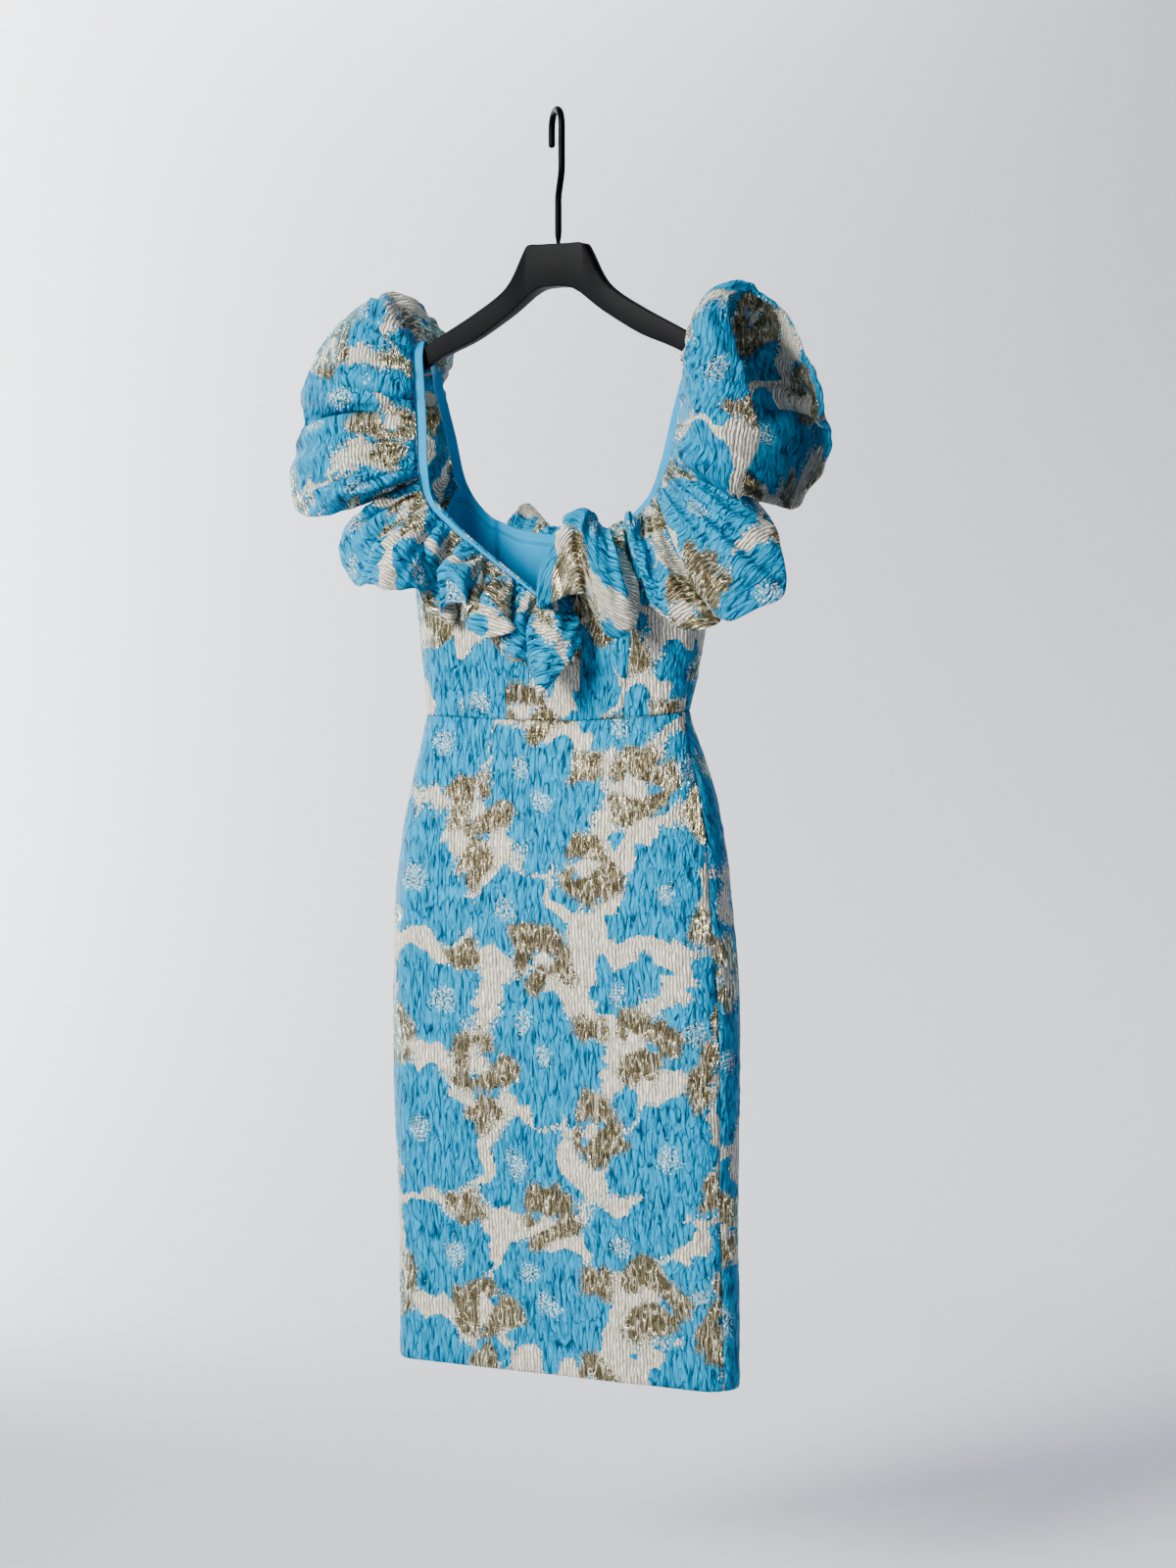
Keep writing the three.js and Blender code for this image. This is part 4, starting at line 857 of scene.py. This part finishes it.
# %% [markdown]
# ## The ruffle
# Each side's ruffle is one long strip folded in two and gathered on to the neck line, so it stands out
# in deep lobes with soft rolled edges. Letting cloth fall in a simulation would give other lobes every
# time. So the folds are placed one by one, a row for each crest, corner and valley of the free edge, and
# the strip runs between seam and edge as a parabola. Gathers, slow creases and crinkle come on top, and
# a second table has a row for each tuck, where the cloth slips over itself in a narrow dark valley.
# %% The folds of the ruffle
FOLD_COLUMNS = "at x y z belly rise"
LEFT_FOLDS = [
    (0, -0.5, -66, -634, 2, 0), (0.015, -14, -84, -634, 14, 0), (0.03, -36, -75, -620, 10, 0),
    (0.04, -28, -66, -594, 2, 0), (0.05, -14, -90, -600, 16, 0), (0.075, -46, -94, -606, 22, 0),
    (0.1, -74, -88, -592, 20, 0), (0.108, -62, -104, -572, 30, 10), (0.135, -88, -98, -566, 30, 10),
    (0.15, -112, -76, -580, 14, 0), (0.165, -104, -66, -594, 6, 0), (0.185, -140, -64, -572, 5, 0),
    (0.2, -136, -92, -552, 22, 0), (0.222, -168, -104, -552, 34, 0), (0.238, -202, -92, -545, 30, 0),
    (0.25, -232, -70, -546, 16, 0), (0.262, -260, -60, -516, 18, 0), (0.272, -248, -60, -474, 12, 0),
    (0.283, -208, -44, -440, 0, 0),
    (0.295, -252, -88, -462, 30, 0), (0.32, -307, -72, -460, 38, 0), (0.345, -324, -60, -421, 42, 0),
    (0.367, -322, -56, -378, 34, 0), (0.385, -314, -50, -352, 12, 0), (0.408, -320, -46, -328, 36, 0),
    (0.43, -312, -38, -296, 25, 0), (0.452, -306, -32, -276, 36, 0), (0.48, -292, -20, -244, 34, 0),
    (0.505, -270, -3, -217, 32, 0), (0.53, -240, 16, -202, 28, 0), (0.56, -250, 50, -222, 44, 0),
    (0.6, -280, 72, -280, 60, 0), (0.625, -276, 68, -310, 36, 0), (0.65, -290, 84, -345, 62, 0),
    (0.69, -288, 84, -405, 56, 0), (0.715, -262, 80, -450, 40, 0),
]
RIGHT_FOLDS = [
    (0, 6.5, -66, -638, 2, 0), (0.012, 10, -80, -644, 10, 0), (0.022, 26, -96, -670, 20, 0),
    (0.03, 46, -94, -654, 20, 0), (0.04, 64, -84, -626, 12, 0), (0.05, 66, -69, -604, 2, 0),
    (0.057, 44, -80, -578, 4, 0),
    (0.065, 38, -112, -574, 28, 50), (0.09, 77, -114, -558, 34, 120), (0.12, 90, -104, -566, 30, 145),
    (0.145, 104, -104, -592, 28, 120), (0.163, 126, -100, -608, 24, 90), (0.178, 143, -84, -588, 14, 60),
    (0.19, 133, -66, -548, 4, 50), (0.203, 152, -86, -542, 26, 70), (0.215, 176, -98, -574, 32, 50),
    (0.228, 204, -102, -594, 32, 0), (0.24, 234, -106, -597, 28, 0), (0.248, 252, -92, -584, 14, 0),
    (0.256, 221, -70, -548, -2, 0), (0.264, 262, -110, -588, 32, 0), (0.274, 303, -106, -574, 36, 0),
    (0.282, 327, -98, -562, 36, 0), (0.288, 329, -90, -540, 34, 0), (0.295, 318, -80, -506, 28, 0),
    (0.302, 300, -66, -478, 12, 0), (0.308, 254, -56, -460, 0, 0), (0.32, 262, -80, -448, 36, 0),
    (0.34, 276, -80, -422, 42, 0), (0.365, 290, -78, -388, 46, 0), (0.405, 278, -68, -341, 44, 0),
    (0.44, 256, -56, -290, 38, 0),
    (0.48, 236, -42, -236, 32, 0), (0.515, 242, -20, -218, 26, 0), (0.545, 270, 0, -226, 28, 0),
    (0.575, 292, 18, -260, 44, 0), (0.6, 308, 32, -305, 56, 0), (0.622, 315, 42, -345, 60, 0),
    (0.64, 308, 42, -362, 48, 0), (0.655, 320, 48, -378, 60, 0), (0.68, 315, 50, -405, 62, 0),
    (0.7, 292, 54, -440, 52, 0), (0.715, 271, 58, -462, 36, 0),
]
BACK_FOLDS = [
    (0.73, 208, 60, -445, 8, 0), (0.745, 236, 88, -480, 32, 0), (0.77, 226, 96, -520, 36, 0),
    (0.79, 190, 84, -532, 24, 0), (0.805, 162, 66, -508, 4, 0), (0.82, 170, 92, -522, 34, 0),
    (0.85, 138, 98, -548, 34, 0), (0.875, 106, 66, -532, 2, 40), (0.895, 112, 90, -552, 30, 130),
    (0.925, 76, 94, -566, 30, 90), (0.95, 52, 66, -548, 2, 70), (0.97, 48, 86, -566, 24, 80),
    (1, 13, 68, -556, 8, 40),
]
RUFFLE = {"cell": 3.2, "rib_points": 40, "lip_points": 6, "half_root": 1.0, "puff": 2.0, "lip": 0.035,
          "gather": 3.2, "gather_peak": 0.16, "long_crease": 9.0, "short_crease": 6.0, "crinkle": 0.85}
TUCK_COLUMNS = "at start stop depth width slip lean"
LEFT_TUCKS = [
    (0.03, 0.1, 0.8, 8, 7, 5, 15), (0.066, 0.05, 0.9, 11, 6, 7, 40), (0.092, 0.2, 0.95, 9, 6, -6, -35),
    (0.122, 0.05, 0.85, 11, 6, -7, 35), (0.165, 0.02, 0.9, 9, 8, 6, 10), (0.207, 0.05, 0.8, 11, 6, 7, -45),
    (0.229, 0.2, 0.97, 12, 6, -7, 35), (0.252, 0.3, 0.97, 9, 6, 5, -30), (0.264, 0.05, 0.8, 9, 8, 5, 10),
    (0.3, 0.02, 0.6, 26, 9, 10, -12), (0.315, 0.25, 0.8, 6, 8, -5, 40), (0.345, 0.02, 0.4, 5, 8, 4, 10),
    (0.382, 0.02, 0.94, 33, 6.5, 13, 0), (0.424, 0.02, 0.6, 30, 6.5, -12, 0),
    (0.475, 0.02, 0.35, 6, 7, 4, 8), (0.5, 0.02, 0.45, 5, 8, -4, -10), (0.58, 0.05, 0.5, 8, 9, 5, 0),
    (0.64, 0.02, 0.7, 9, 9, 5, 10), (0.68, 0.05, 0.6, 7, 8, -5, 0),
]
RIGHT_TUCKS = [
    (0.02, 0.1, 0.8, 6, 7, 5, 10), (0.075, 0.02, 0.7, 8, 8, 6, 25), (0.1, 0.1, 0.5, 7, 7, -5, 0),
    (0.135, 0.02, 0.7, 9, 8, 6, -15), (0.165, 0.1, 0.9, 6, 7, -5, 15), (0.212, 0.02, 0.5, 6, 8, 4, 25),
    (0.235, 0.3, 0.95, 5, 9, 4, 30), (0.27, 0.02, 0.6, 7, 9, 5, 30), (0.283, 0.3, 0.95, 6, 10, -4, 0),
    (0.33, 0.02, 0.5, 7, 8, 5, -12), (0.36, 0.05, 0.45, 5, 7, -4, 10), (0.4, 0.02, 0.4, 5, 7, 4, 0),
    (0.45, 0.02, 0.5, 6, 8, 4, 12), (0.5, 0.02, 0.4, 5, 7, -4, 0), (0.56, 0.05, 0.5, 7, 9, 5, 0),
    (0.638, 0.06, 0.97, 38, 7, 16, 10), (0.68, 0.05, 0.6, 6, 8, -5, 0),
]
BACK_TUCKS = [
    (0.78, 0.05, 0.8, 8, 8, 5, 15), (0.86, 0.05, 0.7, 7, 8, -5, 0), (0.94, 0.05, 0.7, 7, 8, 5, 0),
]
print(len(LEFT_FOLDS), "and", len(RIGHT_FOLDS), "folds in front,", len(BACK_FOLDS), "behind on each side")

# %% [markdown]
# The strip is a surface of two numbers: a place along the fold table, and v from the seam to the edge.
# Its columns are spread evenly along the cloth and not along the seam, because a gathered strip has far
# more cloth at its edge. Tucks push it off its own surface, and along it, so that it folds over itself.
# %% Surface of the ruffle


def ruffle_ribs(folds, side, row, v):
    """Points of the strip's middle surface: for each place along the fold table a parabola from the seam,
    v = 0, to the free edge, v = 1. Its belly stands off the body and its rise lifts it."""
    share = np.clip(smooth(folds, "row", "at", row), 0, 1)
    place, out, off = neck_frame(share, side)
    inset, lift = (np.interp(share, SEWN_AT["share"], SEWN_AT[key])[:, None] for key in ("inset", "lift"))
    root = place + out * inset + off * lift
    edge = np.stack([smooth(folds, "row", column, row) for column in "xyz"], axis=-1)
    belly, rise = (smooth(folds, "row", column, row)[:, None] for column in ("belly", "rise"))
    middle = (root + edge) / 2 + off * 2 * belly + rise * np.array([0, 0, 1])
    v = v[None, :, None]
    return root[:, None] * (1 - v) ** 2 + middle[:, None] * 2 * v * (1 - v) + edge[:, None] * v ** 2


def even_rows(folds, side, cell):
    """Rows of the fold table, spaced so that the strip's columns lie `cell` apart near its free edge."""
    fine = np.linspace(0, folds["row"][-1], 4000)
    run = run_of(ruffle_ribs(folds, side, fine, np.array([0.75]))[:, 0])
    return np.interp(np.linspace(0, run[-1], round(run[-1] / cell)), run, fine)


def tuck_shift(tucks, share, along, v):
    """Millimetres that the tucks push the strip: off its surface, and along it. A tuck is a bell-shaped
    valley along a leaning line, with a roll beside it that slips over the valley."""
    off, slip = np.zeros((len(share), len(v))), np.zeros((len(share), len(v)))
    for row in rows_of(table(TUCK_COLUMNS, tucks)):
        where = (v - row["start"]) / (row["stop"] - row["start"])
        reach = np.sin(math.pi * np.clip(where, 0, 1) ** 0.6) ** 0.7
        way = math.copysign(1.0, row["slip"])
        middle = np.interp(row["at"], share, along[:, 0]) + row["lean"] * (v - row["start"])
        d = (along - middle) / row["width"]
        roll = np.exp(-(d + 1.3 * way) ** 2)
        off += row["depth"] * reach * (0.5 * roll - np.exp(-d ** 2))
        slip += row["slip"] * reach * np.exp(-(d + 0.7 * way) ** 2)
    return off, slip


left_columns = even_rows(table(FOLD_COLUMNS, LEFT_FOLDS), -1, RUFFLE["cell"])
print("the left strip has", left_columns.size, "columns in front")

# %% [markdown]
# Sewn double, the strip has a soft hollow between its two layers, so it is a puffed wall with a rounded
# edge. Both faces show the right side of the cloth, and each has its own crinkle.
# %% Ruffle pieces


def ruffle(name, own_folds, tucks, side, shift):
    """The doubled strip: its middle surface, pushed off itself by gathers, creases and tucks, and then
    thickened to both sides by a puff that closes over the folded edge as a quarter of an ellipse."""
    folds = table(FOLD_COLUMNS, own_folds + [(at, side * x, y, z, belly, rise)
                                             for at, x, y, z, belly, rise in BACK_FOLDS])
    row = even_rows(folds, side, RUFFLE["cell"])
    lip = RUFFLE["lip"]
    v = np.concatenate([np.linspace(0, 1 - lip, RUFFLE["rib_points"]),
                        1 - lip * (1 - np.sin(np.linspace(0, math.pi / 2, RUFFLE["lip_points"] + 1)[1:]))])
    ribs = ruffle_ribs(folds, side, row, v)
    normal = np.cross(np.gradient(ribs, axis=0), np.gradient(ribs, axis=1))
    for _ in range(3):
        normal[1:-1] = (normal[:-2] + 2 * normal[1:-1] + normal[2:]) / 4
    normal = unit(normal)
    along = run_of(ribs[:, RUFFLE["rib_points"] * 3 // 4])[:, None] + 0 * v
    across = np.concatenate([np.zeros((len(row), 1)),
                             np.cumsum(np.linalg.norm(np.diff(ribs, axis=1), axis=2), axis=1)], axis=1)
    round_lip = np.sqrt(np.clip(1 - (np.maximum(v - 1 + lip, 0) / lip) ** 2, 0.004, 1))
    half = (RUFFLE["half_root"] + RUFFLE["puff"] * np.sin(math.pi / 2 * np.minimum(v / 0.7, 1))) * round_lip
    at_peak = v / RUFFLE["gather_peak"]
    gather = RUFFLE["gather"] * noise(along / 9, 0 * along + 3, 51) * at_peak * np.exp(1 - at_peak)
    long_creases = RUFFLE["long_crease"] * (np.abs(noise(along / 36 + v, v * 1.9 + 7, 52)) - 0.3)
    short_creases = RUFFLE["short_crease"] * (0.3 - np.abs(noise(along / 17 - v, v * 2.6 + 3, 53)))
    crease = (long_creases + short_creases) * np.sin(math.pi * np.minimum(v * 0.8, 1))
    share = np.maximum.accumulate(smooth(folds, "row", "at", row))
    tucked, slip = tuck_shift(tucks + BACK_TUCKS, share, along, v)
    heading = unit(np.gradient(ribs, axis=0))
    seat = ribs + normal * (gather + crease + tucked)[..., None] + heading * slip[..., None]
    sides = []
    for facing, elsewhere in ((1, 0.0), (-1, 700.0)):
        fine = RUFFLE["crinkle"] * crinkle(across + elsewhere, along) * np.minimum(1, v / 0.08) * round_lip
        sides.append(seat + normal * (facing * (half + fine))[..., None])
    piece = wall_piece(name + "_cloth", *sides, BROCADE, name)
    cloth_across = np.concatenate([across.ravel() + shift[0], shift[0] - across.ravel()])
    cloth_along = np.tile(along.ravel() + shift[1], 2)
    layers = weave(cloth_across, cloth_along)
    layers["reverse"] = np.zeros(cloth_across.size)
    give_layers(piece, cloth_across, cloth_along, layers)


ruffle("ruffle_right", RIGHT_FOLDS, RIGHT_TUCKS, 1, (160, 218))
ruffle("ruffle_left", LEFT_FOLDS, LEFT_TUCKS, -1, (118, 290))

# %% [markdown]
# ## Satin inside and on the straps
# The lining shows where the neck dips, with the line of its facing and its panel seams, each stitched
# twice, a few millimetres apart. It is the body form again, a little further in, and here the inner face
# carries the relief. The distance to the nearest stitching goes with each point, so that the satin is
# painted darker there as shade in the stitched troughs.
# %% Lining
LINING = {"depth": 3.4, "wall": 1.0, "cell": {"across": 5.0, "along": 1.75}, "facing": 14.0}
TWIN = 3.5             # between the two lines of stitching


def stitching(distance, trough, ridge):
    """Relief of a stitched line with the ridge at its twin, and the distance to the nearer of the two."""
    relief = groove(distance, *trough) - groove(distance - TWIN, *ridge)
    return relief, np.abs(np.abs(distance - TWIN / 2) - TWIN / 2)


def lining_panel(name, start, stop):
    """The body form set in by the lining's depth, with its stitched facing and seams, and a slow diagonal
    drag that begins below the edge."""
    grid = panel_grid(start, stop, *HALF["up"], LINING["cell"])
    across, along = cloth_place(grid, (0, 0))
    below = grid["from_top"]
    to_seam = np.abs(side_share(grid["turn"]) - 0.5) * quarter_length(grid["z"])
    facing, facing_clear = stitching(LINING["facing"] - below, trough=(0.5, 1.3), ridge=(0.35, 2.0))
    seams, seams_clear = stitching(to_seam, trough=(0.6, 1.4), ridge=(0.3, 1.6))
    drag = 1.1 * noise(across / 30 + along / 26, along / 80, 61) * np.clip(below / 40, 0, 1)
    relief = facing + seams + drag - 0.4
    clear = np.minimum(facing_clear, seams_clear)
    inner = on_body(grid["turn"], grid["z"], -(LINING["depth"] + LINING["wall"]) - relief)
    outer = on_body(grid["turn"], grid["z"], -LINING["depth"] - 0.3 * np.maximum(relief, 0))
    piece = wall_piece(name + "_satin", outer, inner, SATIN, name)
    across, along, clear = (np.tile(values.ravel(), 2) for values in (across, along, clear))
    give_layers(piece, across, along, {"clear": clear})
    return piece


for name, start, stop in (("lining_front", -1, 1), ("lining_back_right", 1, 2), ("lining_back_left", -2, -1)):
    piece = lining_panel(name, start, stop)
    print(piece.name, len(piece.data.polygons) * 2, "triangles")

# %% [markdown]
# The strap is a turned tube of satin pressed flat. Down the front and the back it runs on as the narrow
# bound edge of the neck, so one band is swept along the whole neck line and widens where it is the strap.
# %% Straps and neck edge
BAND = table("share width lift thick", [
    (0, 4.5, 0.6, 1.6), (0.12, 6, 0.8, 1.8), (0.22, 9, 1.2, 2.0), (0.3, 13.5, 0, 2.4), (0.76, 13.5, 0, 2.4),
    (0.84, 7, 0.8, 1.8), (1, 4.5, 0.6, 1.6)])


def neck_band(name, side):
    """A flattened tube along the neck line: across it the cosine of the way round to a small power, which
    makes it nearly a rectangle, and a faint trough near each edge where it is stitched."""
    share = np.linspace(0, 1, 420)
    place, out, off = neck_frame(share, side)
    around = np.linspace(0, 2 * math.pi, 29)[:-1]
    width, lift, thick = (np.interp(share, BAND["share"], BAND[key])[:, None]
                          for key in ("width", "lift", "thick"))
    across, up = (np.sign(wave) * np.abs(wave) ** power
                  for wave, power in ((np.cos(around), 0.35), (np.sin(around), 0.9)))
    from_seam = width * (across + 1) / 2
    edge_stitch = 0.25 * np.exp(-((np.abs(across) - 0.68) / 0.06) ** 2) * np.sign(up)
    points = (place[:, None] + out[:, None] * from_seam[..., None]
              + off[:, None] * (lift + thick / 2 * up - edge_stitch)[..., None])
    faces = sweep_faces(*points.shape[:2])
    piece = new_piece(name + "_satin", points.reshape(-1, 3), faces, SATIN, name)
    run = run_of(place)[:, None] + 0 * across
    give_layers(piece, from_seam.ravel(), run.ravel(), {"clear": np.full(run.size, FAR)})
    return piece


for name, side in (("strap_right", 1), ("strap_left", -1)):
    print(neck_band(name, side).name, "swept")

# %% [markdown]
# ## The hanger
# Its body is one moulding in black plastic: a flat-topped block that sweeps out into two sloping arms,
# with a groove along the top where the clothes would slide. The profile across an arm is carried along
# the arm's own measured heights and depths. The hook is a round rod bent in its slanted plane.
# %% Hanger body and hook
ARM = table("x top bottom depth", [
    (0, -152, -201, 25), (20, -152, -203, 25), (34, -152, -210, 24), (38, -156, -213, 24),
    (57, -190, -228, 20), (72, -206, -238, 18), (108, -228, -259, 15), (148, -249, -275.5, 13),
    (178, -264.5, -290, 12), (205, -278, -302, 12), (213, -284, -303, 10), (216, -289, -299, 6)])
GROOVE = {"front": -0.34, "back": -0.02, "depth": 3.2, "stop": 212, "fade": 14}


def arm_profile(corner_points=5):
    """The outline across an arm, as (share of depth, share of height, millimetres down, corner in, corner
    up): straight sides, four rounded corners and a groove let into the top."""
    quarter = np.linspace(0, math.pi / 2, corner_points)
    outline = []
    for sideways, upwards, start in ((1, 1, 0), (-1, 1, 1), (-1, -1, 2), (1, -1, 3)):
        if start == 1:
            for edge, out in (("back", 1), ("front", -1)):
                steps = [(GROOVE[edge] + 0.03 * out, 0), (GROOVE[edge], 0.4), (GROOVE[edge] - 0.01 * out, 1)]
                for share, down in steps[::out]:
                    outline.append((share, 0.5, down * GROOVE["depth"], 0, 0))
        for angle in quarter + start * math.pi / 2:
            corner_in, corner_up = math.cos(angle) - sideways, math.sin(angle) - upwards
            outline.append((sideways / 2, upwards / 2, 0, corner_in, corner_up))
    return np.array(outline)


def hanger_body():
    """The arm's outline carried from one tip to the other, scaled by the heights and depths there."""
    half = np.linspace(0, ARM["x"][-1], 150)
    x = np.concatenate([-half[:0:-1], half])
    top, bottom, depth = (smooth(ARM, "x", key, np.abs(x))[:, None] for key in ("top", "bottom", "depth"))
    outline = arm_profile()
    corner = np.minimum(1.6, np.minimum(top - bottom, depth) * 0.3)
    y = outline[:, 0] * depth + outline[:, 3] * corner
    z = (top + bottom) / 2 + outline[:, 1] * (top - bottom) + outline[:, 4] * corner
    reach = np.clip((GROOVE["stop"] - np.abs(x)) / GROOVE["fade"], 0, 1)[:, None]
    z = z - outline[:, 2] * reach
    points = np.stack([x[:, None] + 0 * y, y, z], axis=-1)
    piece = new_piece("hanger_moulding", points.reshape(-1, 3), sweep_faces(*y.shape), BLACK_PLASTIC,
                      "hanger_body")
    return piece


def hook_rod():
    """A round rod along a smooth line in the slanted plane: up the stem, over a kink, round a half circle
    and down to the tip. Its foot is narrower, where it enters the hanger, and its tip is rounded."""
    def at(reach, z):
        """A place in the hook's plane, by its distance from the rail's middle and its height."""
        return (*(HOOK_WAY * reach - AXIS)[:2], z)

    stem, bend, low, high = (HOOK[key] for key in ("stem_offset", "bend", "kink_low", "kink_high"))
    centre = -(bend - HOOK["rod"] / 2)
    places = [at(stem, HOOK["stem_foot"]), at(stem, -135), at(stem, -115), at(stem, low - 4),
              at(stem + 2, low + 3), at(bend - 2, high - 3), at(bend, high + 4), at(bend, -45)]
    places += [at(bend * math.cos(angle), centre + bend * math.sin(angle))
               for angle in np.linspace(0, math.pi, 9)]
    places += [at(-bend, HOOK["tip_end"] + 8), at(-bend, HOOK["tip_end"])]
    line = catmull_rom(places, 8)
    run = run_of(line)
    heading = unit(np.gradient(line, run, axis=0))
    sideways = np.cross(HOOK_WAY, (0, 0, 1))
    upright = np.cross(heading, sideways)
    around = np.linspace(0, 2 * math.pi, 25)[:-1]
    foot = 1 - 0.45 * np.exp(-(run / 7) ** 2)
    tip = np.sqrt(np.clip(1 - (np.maximum(0, run - run[-1] + 3.5) / 3.6) ** 2, 0.02, 1))
    radius = (HOOK["rod"] / 2 * foot * tip)[:, None, None]
    points = line[:, None] + radius * (np.cos(around)[None, :, None] * sideways
                                       + np.sin(around)[None, :, None] * upright[:, None])
    piece = new_piece("hook_rod", points.reshape(-1, 3), sweep_faces(len(line), len(around)), PAINTED_STEEL,
                      "hanger_hook")
    return piece


for piece in (hanger_body(), hook_rod()):
    print(piece.name, len(piece.data.polygons), "faces")

# %% [markdown]
# ## Floor, backdrop and light
# A pale paper sweep stands behind the dress and runs forward under it. A large soft light from the left
# models the folds, a weaker one from the front and a pale sky fill the shade, and two more wash over the
# paper at the side and the top. The paper is clear from behind, so that the dress can be seen all round.
# %% Stage and lights
FLOOR = -1.74
TO_RIGHT = np.array([math.cos(CAMERA_TURN), math.sin(CAMERA_TURN), 0])
AWAY = np.array([-math.sin(CAMERA_TURN), math.cos(CAMERA_TURN), 0])
UP = np.array([0, 0, 1])
SWEEP = {"behind": 2.4, "half_width": 4.6, "forward": 3.2, "radius": 0.8, "height": 3.6}


def seen_from_the_front(material):
    """The finish, mixed with clear on the faces' backs."""
    tree = material.node_tree
    output = next(node for node in tree.nodes if node.type == "OUTPUT_MATERIAL")
    shader = output.inputs["Surface"].links[0].from_socket
    behind = add(tree, "NewGeometry", out="Backfacing")
    either = add(tree, "MixShader", (behind, shader, add(tree, "BsdfTransparent")))
    tree.links.new(either, output.inputs["Surface"])
    return material


def paper_sweep():
    """A floor, a quarter round and a wall, square to the camera's view."""
    quarter = np.linspace(0, math.pi / 2, 24)
    bend = SWEEP["behind"] - SWEEP["radius"]
    depth = np.concatenate([[-SWEEP["forward"]], bend + SWEEP["radius"] * np.sin(quarter), [SWEEP["behind"]]])
    height = np.concatenate([[0], SWEEP["radius"] * (1 - np.cos(quarter)), [SWEEP["height"]]]) + FLOOR
    width = np.array([-1, 1]) * SWEEP["half_width"]
    points = (width[:, None, None] * TO_RIGHT + depth[None, :, None] * AWAY + height[None, :, None] * UP)
    number = np.arange(points.shape[0] * points.shape[1]).reshape(points.shape[:2])
    faces = np.stack([number[0, :-1], number[1, :-1], number[1, 1:], number[0, 1:]], axis=1)
    mesh = bpy.data.meshes.new("paper_sweep")
    mesh.from_pydata(points.reshape(-1, 3).tolist(), [], faces.tolist())
    mesh.polygons.foreach_set("use_smooth", np.ones(len(faces), bool))
    paper = speckled_finish("matt_paper", "#DCDDE0", "#E2E3E6", 20, 0.9, 0.1)
    mesh.materials.append(seen_from_the_front(paper))
    sweep = bpy.data.objects.new("paper_sweep", mesh)
    bpy.context.collection.objects.link(sweep)


def on_set(right, away, up):
    """A place given by metres to the camera's right, away from it and up, about the dress."""
    return right * TO_RIGHT + away * AWAY + up * UP


def soft_light(name, place, target, size, power, tint, spread=180):
    """A rectangle of light at one place on the set, facing another, with a beam of so many degrees."""
    data = bpy.data.lights.new(name, "AREA")
    data.spread = math.radians(spread)
    data.shape, data.size, data.size_y = "RECTANGLE", size[0], size[1]
    data.energy, data.color = power, colour(tint)[:3]
    light = bpy.data.objects.new(name, data)
    place, target = on_set(*place), on_set(*target)
    way = target - place
    light.location = place
    tilt, turn = math.acos(-way[2] / np.linalg.norm(way)), math.atan2(way[1], way[0]) - math.pi / 2
    light.rotation_euler = (tilt, 0, turn)
    bpy.context.collection.objects.link(light)


paper_sweep()
MIDDLE = (0, 0, -0.8)
soft_light("key", (-2.5, -2.2, 0.6), MIDDLE, (1.5, 2.0), 38, "#FFFDF8", 45)
soft_light("fill", (0.6, -3.8, -0.2), MIDDLE, (2.0, 2.6), 12, "#E4ECFF")
soft_light("wash_side", (-2.4, 1.25, -0.4), (-2.0, 2.4, -0.4), (0.6, 2.6), 290, "#FFFFFF")
soft_light("wash_top", (-0.6, 1.5, 1.4), (-0.6, 2.4, 1.4), (2.0, 0.5), 70, "#FFFFFF")
world = bpy.data.worlds.new("pale_room")
world.use_nodes = True
sky = world.node_tree.nodes["Background"].inputs
sky["Color"].default_value = colour("#C6D1F6")
sky["Strength"].default_value = 0.46
bpy.context.scene.world = world
print("lights:", [item.name for item in bpy.data.lights])
